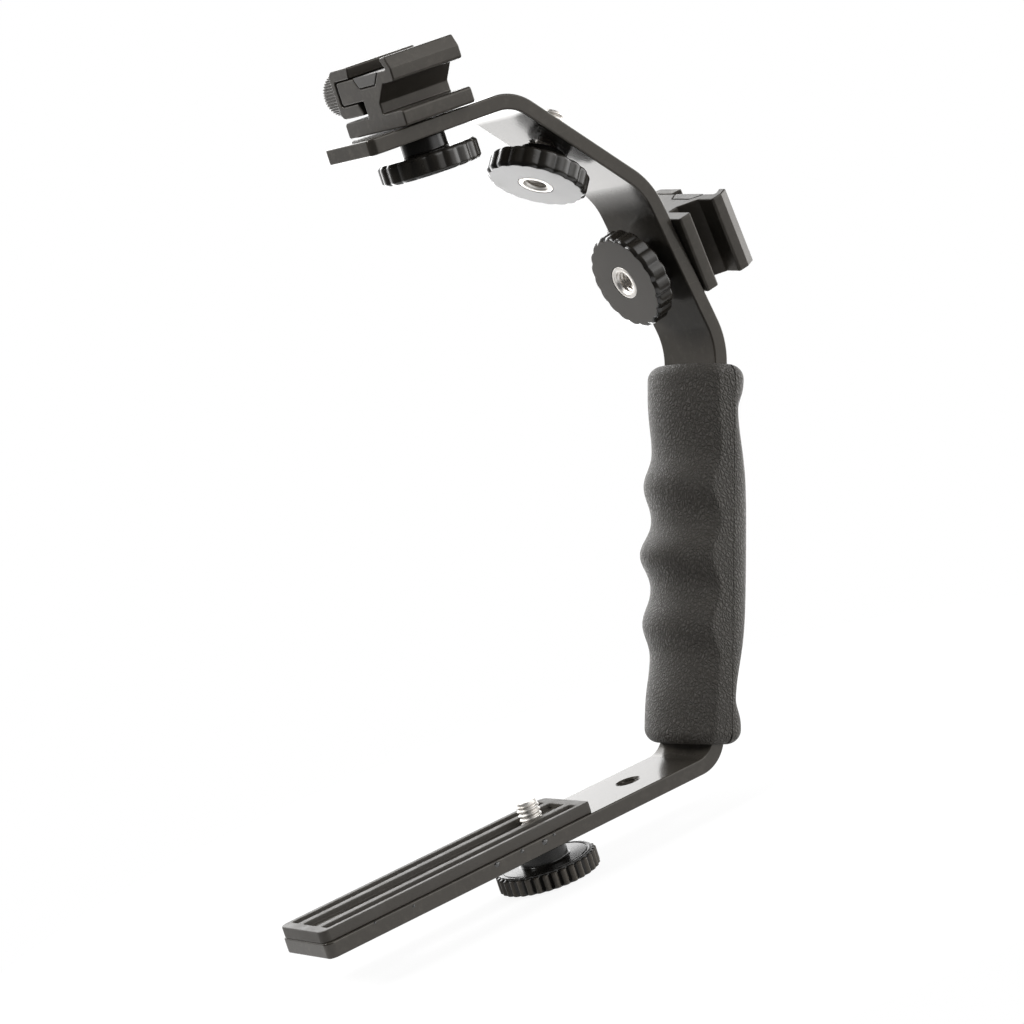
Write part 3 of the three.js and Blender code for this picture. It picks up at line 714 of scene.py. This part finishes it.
def tripod_cutters():
    """Cutters for the threaded tripod hole and for the chamfer at each of its rims."""
    out = HALF_THICK + 1
    rows = [(0, -out)]
    rows += thread_rows(-out, out, TRIPOD_R - TRIPOD_THREAD, TRIPOD_THREAD, inner=True, fade=0.01)
    rows += [(0, out)]
    cutters = [turned("tool", rows, 48)]
    for side in (-1, 1):
        deep, high = side * (HALF_THICK - 0.7), side * (HALF_THICK + BEYOND)
        cone = [(0, deep), (2.95, deep), (TRIPOD_R + 0.4 + BEYOND, high), (0, high)]
        cutters.append(turned("tool", cone, 48))
    return [transformed(cutter, inward_frame(LOWER, TRIPOD_REACH)) for cutter in cutters]


def stud_cutter(run, reach):
    """A cutter for a plain hole, with both of its rims chamfered."""
    chamfer = 0.35
    face, out = HALF_THICK - chamfer, HALF_THICK + BEYOND
    wide = STUD_HOLE_R + chamfer + BEYOND
    profile = [(0, -out), (wide, -out), (STUD_HOLE_R, -face), (STUD_HOLE_R, face), (wide, out), (0, out)]
    return transformed(turned("tool", profile, 48), inward_frame(run, reach))


def make_bar():
    rows = []
    for index, (p, a, d) in enumerate(bar_path()):
        corner = LOWER_CORNER if index < len(END_STEPS) else UPPER_CORNER
        w = BAR_WIDTH / 2 - round_drop(d, corner)
        t = HALF_THICK - round_drop(d, BAR_SOFT)
        section = rounded([(-w, -t, BAR_SOFT), (w, -t, BAR_SOFT), (w, t, BAR_SOFT), (-w, t, BAR_SOFT)], 4)
        n = Vector((-math.sin(a), math.cos(a)))
        row = []
        for y, h, edge in section:
            q = at_row(p.x + n.x * h, p.y + n.y * h)
            row.append((q.x, y, q.z, max(edge, 0.7 if d < 0.4 else 0)))
        rows.append(row)
    bar = skin("bar", rows)
    tools = [slot_cutter()] + tripod_cutters()
    tools += [stud_cutter(SIDE, SIDE_STUD), stud_cutter(SLOPE, SLOPE_STUD), stud_cutter(UPPER, UPPER_STUD)]
    cut(bar, *tools)
    finish_mesh(bar)
    place(bar, Matrix.Identity(4), "bracket", ["bracket_bar"], "bar_coat", BAR_COAT)


# Pad

PAD_LENGTH, PAD_HEIGHT, PAD_HALF = 88.0, 3.2, BAR_WIDTH / 2 - 0.9
PAD_END_RIM, PAD_SIDE_RIM = 3.2, 1.9
MIDDLE_GROOVE, RIB, GROOVE_DEPTH = 7.2, 2.7, 1.5


def plan_rows(outline, z0, z1):
    """A plan outline raised from z0 to z1, both edges rounded, the lower one less."""
    soft, foot, steps = 0.35, 0.28, 3
    outline = counter_clockwise(outline)
    rows = []
    for k in range(steps + 1):
        t = k / steps * math.pi / 2
        drawn = inset_outline(outline, foot * (1 - math.sin(t)))
        rows.append([(x, y, z0 + foot * (1 - math.cos(t)), 0) for x, y, _ in drawn])
    for k in range(steps + 1):
        t = k / steps * math.pi / 2
        grown = inset_outline(outline, soft * (1 - math.cos(t)))
        rows.append([(x, y, z1 - soft + soft * math.sin(t), 1.0 if k else 0.4) for x, y, _ in grown])
    return rows


def make_pad():
    x0 = 0.002 - REACH[0]
    x1 = x0 + PAD_LENGTH
    h = PAD_HALF
    base, top = HALF_THICK, HALF_THICK + PAD_HEIGHT
    left, right = x0 + PAD_END_RIM, x1 - PAD_END_RIM
    plan = rounded([(x0, -h, 2.5), (x1, -h, 0.9), (x1, h, 2.5), (x0, h, 2.5)], 8)
    pad = skin("pad", plan_rows(plan, base + 0.02, top))

    def groove(y0, y1):
        """A groove whose lip is rounded and whose floor meets its walls in a small hollow."""
        outline = rounded([(left, y0, 0.5), (right, y0, 0.5), (right, y1, 0.5), (left, y1, 0.5)], 4)
        outline = counter_clockwise(outline)
        rows = []
        floor = top - GROOVE_DEPTH
        for z, inset in (
            (floor, 0.3), (floor + 0.09, 0.09), (floor + 0.3, 0.0), (top - 0.3, 0.0),
            (top - 0.09, -0.09), (top, -0.3), (top + 1, -0.6),
        ):
            rows.append([(x, y, z, 0) for x, y, _ in inset_outline(outline, inset)])
        return skin("tool", rows)

    middle = MIDDLE_GROOVE / 2
    inner = middle + RIB
    outer = h - PAD_SIDE_RIM
    slot = skin("tool", [stadium(SLOT_FAR, SLOT_NEAR, SLOT_R, z) for z in (base - BEYOND, top + BEYOND)])
    cut(pad, groove(-middle, middle), groove(-outer, -inner), groove(inner, outer), slot)
    finish_mesh(pad)
    place(pad, shift(*at_row(0, 0)), "bracket", ["camera_pad"], "pad_rubber", PAD_RUBBER)


# Drops of glue on the near edge: place along the lower arm, height and size.
BEADS = [
    (-76.2, 1.15, 0.75), (-60.3, 0.85, 0.8), (-67.7, 1.35, 0.55), (-56.9, 1.5, 0.45), (-103.5, 1.1, 0.4),
    (-115.7, 1.7, 0.35),
]


def make_glue_beads():
    """Small round drops of clear glue, flat against the bar's near edge."""
    for number, (x, z, size) in enumerate(BEADS):
        height = size * 0.55
        rows = [[(0, -height, 0, 0)]]
        for k in range(1, 9):
            lat = math.pi / 2 * (1 - k / 8)
            row = []
            for i in range(20):
                t = TAU * i / 20
                uneven = 1 + 0.06 * math.sin(3 * t + number) + 0.05 * math.sin(5 * t + number)
                c = size * math.cos(lat) * uneven * (1 + 0.18 * (k / 8) ** 6)
                row.append((c * math.cos(t), -height * math.sin(lat), c * math.sin(t) * 0.85, 0))
            rows.append(row)
        rows.append([(0, 0.1, 0, 0)])
        bead = skin(f"glue_bead_{number + 1}", rows, caps=False)
        finish_mesh(bead)
        where = at_row(x, z) + Vector((0, 0.02 - BAR_WIDTH / 2, 0))
        place(bead, shift(*where), "bracket", (), None, GLUE)


# Grip

FIRST_HOLD, HOLD_PITCH, HOLDS, HOLD_FADE = 27.5, 19.2, 4, 8.6
MIDDLE_RIDGE, OUTER_RIDGE = 4.4, 2.8
FRONT_DEPTH, FRONT_CENTRE, BACK_DEPTH = 9.8, 2, 11.8
CREASE, CREASE_DIP = -3.2, 2.9
WAIST_DEPTH, WAIST_PLACE, INNER_SPREAD, END_SPREAD = 3.4, 12.8, 12.5, 4.5
GRIP_HALF_WIDTH, GRIP_ROUND, SQUARENESS = 16, 4.0, 0.8


def bell(distance, spread):
    return math.exp(-((distance / spread) ** 2))


def grip_section(reach):
    """The front's depth, the back's depth and the height of the front's crease, along the run."""
    last = FIRST_HOLD + HOLD_PITCH * (HOLDS - 1)
    phase = (reach - FIRST_HOLD) / HOLD_PITCH
    beyond = max(FIRST_HOLD - reach, reach - last, 0)
    wave = 0 if beyond > 0 else (1 - math.cos(phase * TAU)) / 2
    ridge = MIDDLE_RIDGE if math.floor(phase) == 1 else OUTER_RIDGE
    calm = 1 - bell(beyond, HOLD_FADE)
    front = FRONT_DEPTH + ridge * wave**1.2 + 2 * calm
    crease = CREASE + (1 - calm) - CREASE_DIP * wave
    half = GRIP_LENGTH / 2
    middle = (reach - GRIP_START - half) / half
    from_end = half * (1 - abs(middle))
    spread = INNER_SPREAD if from_end > WAIST_PLACE else END_SPREAD
    waist = WAIST_DEPTH * bell(from_end - WAIST_PLACE, spread)
    return front, BACK_DEPTH - 2 * middle**2 - waist, crease


def grip_ring(distance):
    """Closed outline (y, z) of the grip at a distance from its lower end."""
    from_end = min(distance, GRIP_LENGTH - distance)
    front, back, crease = grip_section(GRIP_START + distance)
    inset = round_drop(from_end, GRIP_ROUND)
    axis = front + FRONT_CENTRE
    start = math.acos((FRONT_CENTRE - crease) / axis)
    widest = GRIP_HALF_WIDTH / math.sin(start) - inset
    near, palm = [], []
    steps = 60
    for k in range(steps + 1):
        t = start - 2 * start * k / steps
        near.append((widest * math.sin(t), FRONT_CENTRE - (axis - inset) * math.cos(t)))
    for k in range(steps + 1):
        t = -math.pi / 2 + math.pi * k / steps
        s, c = math.sin(t), max(math.cos(t), 0)
        y = (GRIP_HALF_WIDTH - inset) * math.copysign(abs(s) ** SQUARENESS, s)
        palm.append((y, 1 + (back - inset - 1) * c**SQUARENESS))
    return near, palm


def resampled(line, count):
    """A polyline with evenly spaced points."""
    lengths = [0.0]
    for a, b in zip(line, line[1:]):
        lengths.append(lengths[-1] + math.dist(a, b))
    out, k = [], 0
    for i in range(count):
        target = lengths[-1] * i / (count - 1)
        while k < len(line) - 2 and lengths[k + 1] < target:
            k += 1
        span = lengths[k + 1] - lengths[k]
        f = (target - lengths[k]) / span if span > 1e-9 else 0
        out.append(tuple(p + (q - p) * f for p, q in zip(line[k], line[k + 1])))
    return out


def softened(line, passes):
    """Rounds the corners of a polyline and keeps its ends."""
    for _ in range(passes):
        line = (
            [line[0]]
            + [
                tuple((a + 2 * b + c) / 4 for a, b, c in zip(line[i - 1], line[i], line[i + 1]))
                for i in range(1, len(line) - 1)
            ]
            + [line[-1]]
        )
    return line


def above(line, level):
    """The part of a closed outline above a level, from one crossing to the other."""
    count = len(line)
    first = next(i for i in range(count) if line[i - 1][1] < level <= line[i][1])
    out = []
    for k in range(count + 1):
        a, b = line[(first + k - 1) % count], line[(first + k) % count]
        crossing = (a[1] - level) * (b[1] - level) < 0
        if crossing:
            f = (level - a[1]) / (b[1] - a[1])
            out.append((a[0] + (b[0] - a[0]) * f, level))
            if k:
                break
        out.append(b)
    return out


def make_grip():
    parting = HALF_THICK
    ends = [GRIP_ROUND * (1 - math.cos(k / 10 * math.pi / 2)) for k in range(11)]
    middle = [GRIP_ROUND + (GRIP_LENGTH - 2 * GRIP_ROUND) * k / 190 for k in range(1, 190)]
    stations = ends + middle + [GRIP_LENGTH - d for d in reversed(ends)]
    halves = {"finger": [], "palm": []}
    for d in stations:
        near, palm = grip_ring(d)
        ring = near + palm
        flipped = [(y, -z) for y, z in ring[::-1]]
        x = GRIP_START + d
        from_end = min(d, GRIP_LENGTH - d)
        at_ends = 0.7 * bell(from_end, 3.0) * (0.75 + 0.25 * math.sin(9.1 * d))
        split = at_ends + 0.05 * math.sin(1.7 * d) ** 2
        levels = (("palm", ring, parting + 0.04 + split, 1), ("finger", flipped, -parting, -1))
        for name, line, level, sign in levels:
            curve = resampled(above(line, level), 150)
            curve = softened(curve, 2)
            y0, y1 = curve[0][0], curve[-1][0]
            bevel = 0.09
            s0, s1 = math.copysign(1, y0), math.copysign(1, y1)
            part = bevel * 0.3
            lip0 = [(y0 - s0 * bevel, level), (y0 - s0 * part, level + part)]
            lip1 = [(y1 - s1 * part, level + part), (y1 - s1 * bevel, level)]
            start = level + bevel
            body = [p for p in curve if p[1] > start]
            body = resampled([(y0, start)] + body + [(y1, start)], 140)
            points = lip0 + body + lip1
            edge = [0.8, 1.0] + [0.0] * len(body) + [1.0, 0.8]
            halves[name].append([(x, y, sign * z, e) for (y, z), e in zip(points, edge)])
    for name, rows in halves.items():
        half = skin(f"grip_{name}", rows)
        finish_mesh(half, 60)
        place(half, GRIP_FRAME, "bracket", [f"grip_{name}_half"], "grip_rubber", GRIP_LEATHER)


# Camera screw, washer and knob

WASHER_THICK, WASHER_R = 0.8, 6.3
WASHER_TOP = -HALF_THICK - GAP
HUB_TOP = WASHER_TOP - WASHER_THICK - GAP
RIM_TOP = -HALF_THICK - 5.1
RIM_HEIGHT, RIM_R, CAMERA_RIBS = 5.1, 14.25, 33
SEAT, SCREW_TIP = HUB_TOP - 8, 10.0


def make_camera_screw():
    profile = [(0, SEAT), (3.0, SEAT, 0), (SCREW_R, SEAT + 0.2)]
    profile += thread_rows(SEAT + 0.3, SCREW_TIP - 0.9, SCREW_R, 0.56, fade=0.01)[:-1]
    profile += [
        (2.7, SCREW_TIP - 0.85, 0.5), (2.7, SCREW_TIP - 0.15, 0.3), (2.64, SCREW_TIP - 0.04, 0.8),
        (2.54, SCREW_TIP, 0.6), (0, SCREW_TIP),
    ]
    screw = finish_mesh(turned("camera_screw", profile, 56), 55)
    place(screw, CAMERA_FRAME, "camera_screw_knob", ["camera_screw"], "plated_steel", STEEL)


def make_washer():
    r, foot = SCREW_R + GAP, WASHER_TOP - WASHER_THICK
    ring = rounded(
        [(r, foot, 0.1), (WASHER_R, foot, 0.2), (WASHER_R, WASHER_TOP, 0.2), (r, WASHER_TOP, 0.1)], 3
    )
    washer = finish_mesh(turned("camera_washer", ring, 64, loop=True))
    place(washer, CAMERA_FRAME, "camera_carriage", ["camera_washer"], "washer_plastic", WASHER)


def make_camera_knob():
    foot = RIM_TOP - RIM_HEIGHT
    bore = SCREW_R + MOULD_GAP
    profile = rounded(
        [
            (0, foot), (13.7, foot, 0.2), (RIM_R, foot + 0.3, 0.3), (RIM_R, RIM_TOP - 0.75, 0.4),
            (13.3, RIM_TOP - 0.45, 0.1), (13.3, RIM_TOP, 0.3), (12.45, RIM_TOP, 0.15),
            (12.3, RIM_TOP - 0.35, 0.1), (11.9, RIM_TOP - 0.35, 0.1), (11.75, RIM_TOP - 0.05, 0.12),
            (6.75, RIM_TOP - 0.05, 0.6), (6.75, HUB_TOP, 0.35), (bore, HUB_TOP, 0.1), (bore, SEAT),
            (0, SEAT),
        ],
        4,
        closed=False,
    )
    shape = lobes(13.1, RIM_R, 1.1, CAMERA_RIBS, 0.15, 1.0)
    knob = turned("camera_knob", fine_profile(profile, 0.5, 12), CAMERA_RIBS * 12, shape)
    finish_mesh(knob, 50)
    # The rib crests are far paler than the valleys below the crest radius, which keep the dark tone:
    # painted shade in the valleys.
    plastic = knob_plastic(
        "camera_knob_plastic", foot + 0.02, foot,
        tone=0.010, face_tone=0.05, lit_crest_tone=0.085, rib_foot=13.35, rib_dull=0.28, ior=1.42,
    )
    place(knob, CAMERA_FRAME, "camera_screw_knob", ["camera_knob"], "knob_plastic", plastic)


# Scalloped knobs

HUB_START = HALF_THICK + GAP
RIM_START = HUB_START + 3.9
FACE = RIM_START + 5.8
KNOB_R, SCALLOPS = 14.0, 19
SOCKET_R, SOCKET_DEPTH, STUD_R, STUD_LENGTH = 4.85, 8.0, 3.1, 13.6
# Its rib crests are a little paler than the valleys between them: painted shade in the valleys, as on the
# camera knob.
KNOB_PLASTIC = knob_plastic("knob_plastic", FACE - 0.08, FACE - 0.01)


def make_knob(name, matrix, body):
    bed = FACE - SOCKET_DEPTH - MOULD_GAP
    profile = rounded(
        [
            (6.45, HUB_START, 0.3), (6.45, RIM_START, 0.5), (13.2, RIM_START, 0.7),
            (KNOB_R, RIM_START + 0.8, 0.9), (KNOB_R, FACE - 0.8, 0.9), (13.2, FACE, 0.7),
            (SOCKET_R + MOULD_GAP, FACE, 0.12), (SOCKET_R + MOULD_GAP, bed),
            (STUD_R + MOULD_GAP, bed), (STUD_R + MOULD_GAP, HUB_START, 0.1),
        ],
        5,
    )
    shape = lobes(12.0, KNOB_R, 0.5, SCALLOPS, 0.12)
    knob = turned(name, fine_profile(profile, 0.5, 12), SCALLOPS * 18, shape, loop=True)
    finish_mesh(knob, 50)
    place(knob, matrix, body, [name], "knob_plastic", KNOB_PLASTIC)

    socket_foot = FACE - SOCKET_DEPTH
    tip = socket_foot - STUD_LENGTH
    stud = [(0, tip), (2.35, tip, 0.6), (2.6, tip + 0.1, 1.0)]
    stud += thread_rows(tip + 0.4, socket_foot - 0.8, STUD_R, 0.6, fade=1.2)
    stud += [(STUD_R, socket_foot), (SOCKET_R, socket_foot)]
    stud += [(SOCKET_R, FACE - 0.25, 0.5), (SOCKET_R - 0.07, FACE - 0.07, 1.0), (4.6, FACE, 0.7)]
    stud += [(3.72, FACE, 0.5), (3.6, FACE - 0.05, 1.0), (3.45, FACE - 0.35, 0.3)]
    stud += thread_rows(FACE - 0.45, FACE - 7.0, 2.9, 0.5, inner=True, fade=0.5)
    stud += [(2.85, FACE - 7.1), (0, FACE - 7.6)]
    metal = finish_mesh(turned(name + "_stud", stud, 56), 55)
    place(metal, matrix, body, [name + "_stud"], "plated_steel", STEEL)


# Accessory shoes

SHOE_HALF = 22.4 / 2
FLANGE_TOP = GAP + 4.4
STEM_TOP = FLANGE_TOP + 3.0
LIP_FOOT = STEM_TOP + 4.7
LIP_TOP = LIP_FOOT + 6.698
CHANNEL = LIP_TOP - 3.25
HEAD_TOP = CHANNEL - 0.15
HEAD_FOOT = HEAD_TOP - 6.4
GROOVE = CHANNEL - 3.3
HEAD_REACH, LOCK_HEIGHT = 13.35, 11.9
FLANGE_HALF, LIP_OUT = 15.3, 15.8
LIP_IN = LIP_OUT - 2.5
STEM_RIGHT, STEM_LEFT = 5.4, -2.4
LOCK_BORE_R, LOCK_HEAD_R, LOCK_TEETH = 2.3, 6.35, 48


def along_lock(obj):
    """Turns a shape made along +Z so that it points out of the jaw, away from the lip."""
    return transformed(obj, shift(0, 0, LOCK_HEIGHT) @ Matrix.Rotation(math.pi / 2, 4, "X"))


def lock_cutter(start, end):
    """A cutter for the clamp screw's bore, between two distances from the stud's axis."""
    profile = [(0, start), (LOCK_BORE_R, start), (LOCK_BORE_R, end), (0, end)]
    return along_lock(turned("tool", profile, 32))


def make_shoe(name, matrix, bodies):
    shoe_body, jaw_body, lock_body = bodies
    profile = rounded(
        [
            (-FLANGE_HALF, GAP, 0.7), (FLANGE_HALF, GAP, 0.7), (FLANGE_HALF, FLANGE_TOP, 0.9),
            (STEM_RIGHT, FLANGE_TOP, 0.5), (STEM_RIGHT, STEM_TOP, 0.6), (9.9, LIP_FOOT, 0.6),
            (LIP_OUT, LIP_FOOT, 0.8), (LIP_OUT, LIP_TOP - 3.2, 0.6), (LIP_OUT - 1.6, LIP_TOP, 0.6),
            (LIP_IN - 2.1, LIP_TOP, 0.5), (LIP_IN, CHANNEL, 0.4), (9.0, CHANNEL, 0.45),
            (5.7, GROOVE, 0.45), (-2.3, GROOVE, 0.45), (-4.5, HEAD_TOP, 0.45),
            (-HEAD_REACH, HEAD_TOP, 0.8), (-HEAD_REACH, HEAD_FOOT, 0.8), (STEM_LEFT, HEAD_FOOT, 0.5),
            (STEM_LEFT, FLANGE_TOP, 0.5), (-FLANGE_HALF, FLANGE_TOP, 0.9),
        ],
        4,
    )
    shoe = extruded(name + "_body", profile, -SHOE_HALF, SHOE_HALF, 0.42, 4)
    bore = turned("tool", [(0, -1), (3.35, -1), (3.35, 10.0), (0, 10.0)], 40)
    cut(shoe, transformed(bore, shift(-SHOE_OFFSET, 0, 0)), lock_cutter(5.3, 16))
    finish_mesh(shoe)
    place(shoe, matrix, shoe_body, [name + "_body"], "shoe_metal", SHOE_METAL, baked=True)

    floor = GROOVE + GAP
    strip = rounded([(-2.2, floor, 0.3), (5.7, floor, 0.3), (8.7, CHANNEL, 0.3), (-4.2, CHANNEL, 0.3)], 3)
    insert = finish_mesh(extruded(name + "_insert", strip, -SHOE_HALF, SHOE_HALF, 0.15))
    place(insert, matrix, shoe_body, [name + "_floor_insert"], "insert_metal", INSERT_METAL, baked=True)

    inner = HEAD_REACH + 0.6
    outer = inner + 2.05
    top_in, foot_in = HEAD_TOP + GAP, HEAD_FOOT - GAP
    foot = foot_in - 3.3
    profile = rounded(
        [
            (-outer, foot, 2.0), (-3.7, foot, 0.5), (-5.7, foot_in, 0.5), (-inner, foot_in, 0.8),
            (-inner, top_in, 0.8), (-6.2, top_in, 0.45), (-5.3, LIP_TOP, 0.5), (-outer, LIP_TOP, 2.0),
        ],
        5,
    )
    jaw = extruded(name + "_jaw", profile, -SHOE_HALF, SHOE_HALF, 0.4, 4)
    cut(jaw, lock_cutter(12, 19))
    finish_mesh(jaw)
    place(jaw, matrix, jaw_body, [name + "_jaw"], "shoe_metal", SHOE_METAL, baked=True)

    seat = outer + GAP
    head = seat + 5.0
    end = head + 9.6
    shank = HEAD_REACH - 8 + 0.6 + GAP
    profile = [(0, shank), (1.7, shank, 0.5)]
    profile += thread_rows(shank + 0.2, seat - 1.5, 2.0, 0.35, pitch=0.7, fade=0.8, steps=6)
    profile += [(2.0, seat)]
    profile += rounded(
        [
            (2.0, seat), (4.2, seat, 0.35), (4.2, head, 0.5), (LOCK_HEAD_R, head, 0.5),
            (LOCK_HEAD_R, end, 0.9), (4.6, end, 0.15), (4.3, end - 0.25, 0.15), (0, end - 0.25),
        ],
        5,
        closed=False,
    )[1:]
    shape = teeth(5.4, LOCK_HEAD_R, 0.28, LOCK_TEETH)
    lock = turned(name + "_lock", fine_profile(profile, 1.0, 6.3), LOCK_TEETH * 8, shape)
    along_lock(lock)
    finish_mesh(lock, 50)
    place(lock, matrix, lock_body, [name + "_lock_screw"], "shoe_metal", LOCK_METAL, baked=True)


make_bar()
make_pad()
make_glue_beads()
make_grip()
make_camera_screw()
make_washer()
make_camera_knob()
make_knob("side_knob", SIDE_KNOB_FRAME, "side_hand_knob")
make_knob("spare_knob", SPARE_KNOB_FRAME, "spare_hand_knob")
make_knob("top_knob", TOP_KNOB_FRAME, "top_hand_knob")
make_shoe("side_shoe", SIDE_SHOE_FRAME, ("side_shoe", "side_jaw", "side_lock"))
make_shoe("top_shoe", TOP_SHOE_FRAME, ("top_shoe", "top_jaw", "top_lock"))

# Floor, light and camera

FLOOR_R, FLOOR_X, FLOOR_DROP, FLOOR_SIDES = 0.2, -0.055, 0.0005, 96
FLOOR_TONE, FLOOR_GLOW = 0.16, 0.9
WORLD_BASE = 0.07
AREA_INNER, AREA_OUTER = 5, 38

# Soft pale areas of the studio by elevation, each an azimuth from +Y towards +X and an amount.
STUDIO_AREAS = {
    -35: [(5, 1.5), (30, 3.0), (60, 1.5)],
    0: [(-20, 0.25), (5, 2.25), (30, 1.25), (60, 1.5), (100, 3.0), (150, 0.75)],
    35: [(5, 0.75), (150, 1.75)],
}

# The camera's place in metres and its turn about X, Y and Z in degrees, fitted to the bar's edges.
CAMERA_PLACE = (-0.528769, -0.798853, 0.181797)
CAMERA_TURN = (80.362, 17.768, -33.801)
CAMERA_LENS, CAMERA_SENSOR = 122.782, 36.0


def emptied_tree(owner):
    owner.use_nodes = True
    owner.node_tree.nodes.clear()
    return owner.node_tree


def make_floor():
    """A small disc that takes the shadow and shows pale to the camera and in reflections."""
    low = CAD_BOX[0][2] - FLOOR_DROP
    turns = [TAU * k / FLOOR_SIDES for k in range(FLOOR_SIDES)]
    ring = [(FLOOR_R * math.cos(t) + FLOOR_X, FLOOR_R * math.sin(t), low) for t in turns]
    mesh = bpy.data.meshes.new("floor")
    mesh.from_pydata(ring, [], [tuple(range(FLOOR_SIDES))])
    floor = bpy.data.objects.new("floor", mesh)
    bpy.context.scene.collection.objects.link(floor)
    material = bpy.data.materials.new("floor")
    tree = emptied_tree(material)
    rays = add_node(tree, "ShaderNodeLightPath").outputs
    seen = math_node(tree, "MAXIMUM", rays["Is Camera Ray"], rays["Is Glossy Ray"])
    seen = math_node(tree, "MAXIMUM", seen, rays["Is Transmission Ray"])
    strength = math_node(tree, "MULTIPLY", seen, FLOOR_GLOW)
    pale = add_node(tree, "ShaderNodeBsdfDiffuse", {"Color": (FLOOR_TONE, FLOOR_TONE, FLOOR_TONE, 1)})
    glow = add_node(tree, "ShaderNodeEmission", {"Strength": strength})
    both = add_node(tree, "ShaderNodeAddShader", {0: pale.outputs[0], 1: glow.outputs[0]})
    add_node(tree, "ShaderNodeOutputMaterial", {"Surface": both.outputs[0]})
    mesh.materials.append(material)


def soft_area(tree, direction, azimuth, elevation, amount):
    """How much of one pale area lies in a direction."""
    a, e = rad(azimuth), rad(elevation)
    middle = (math.sin(a) * math.cos(e), math.cos(a) * math.cos(e), math.sin(e))
    dot = add_node(tree, "ShaderNodeVectorMath", {0: direction, 1: middle}, operation="DOT_PRODUCT")
    inputs = {
        "Value": dot.outputs["Value"],
        "From Min": math.cos(rad(AREA_OUTER)),
        "From Max": math.cos(rad(AREA_INNER)),
        "To Max": amount,
    }
    return add_node(tree, "ShaderNodeMapRange", inputs, interpolation_type="SMOOTHSTEP").outputs["Result"]


def make_world():
    """White to the camera, and to the object a dim room with soft pale areas."""
    world = bpy.data.worlds.new("studio")
    bpy.context.scene.world = world
    tree = emptied_tree(world)
    direction = add_node(tree, "ShaderNodeTexCoord").outputs["Generated"]
    strength = WORLD_BASE
    for elevation, areas in STUDIO_AREAS.items():
        for azimuth, amount in areas:
            area_here = soft_area(tree, direction, azimuth, elevation, amount)
            strength = math_node(tree, "ADD", area_here, strength)
    seen = add_node(tree, "ShaderNodeLightPath").outputs["Is Camera Ray"]
    shown = add_node(tree, "ShaderNodeMix", {0: seen, 2: strength, 3: 1.0}, data_type="FLOAT")
    inputs = {"Color": (1, 1, 1, 1), "Strength": shown.outputs[0]}
    background = add_node(tree, "ShaderNodeBackground", inputs)
    add_node(tree, "ShaderNodeOutputWorld", {"Surface": background.outputs[0]})


def make_camera():
    data = bpy.data.cameras.new("camera")
    data.sensor_width = CAMERA_SENSOR
    data.lens = CAMERA_LENS
    data.clip_start, data.clip_end = 0.05, 20
    camera = bpy.data.objects.new("camera", data)
    bpy.context.scene.collection.objects.link(camera)
    turn = Euler([rad(angle) for angle in CAMERA_TURN], "XYZ")
    camera.matrix_world = Matrix.LocRotScale(Vector(CAMERA_PLACE), turn, None)
    bpy.context.scene.camera = camera


def lamp(name, location, target, size, power):
    """A round area lamp: places and size in metres, power in watts."""
    data = bpy.data.lights.new(name, "AREA")
    data.shape = "DISK"
    data.size = size
    data.energy = power
    light = bpy.data.objects.new(name, data)
    light.location = location
    light.rotation_euler = (Vector(target) - Vector(location)).to_track_quat("-Z", "Y").to_euler()
    bpy.context.scene.collection.objects.link(light)


make_floor()
make_world()
make_camera()
MIDDLE = (0, 0, 0.05)
lamp("left", (-0.84, 0.44, 0.79), MIDDLE, 0.5, 8.0)
lamp("back", (0.3, 1.2, 0.7), MIDDLE, 0.9, 4.5)

bpy.context.scene.view_settings.view_transform = "Standard"
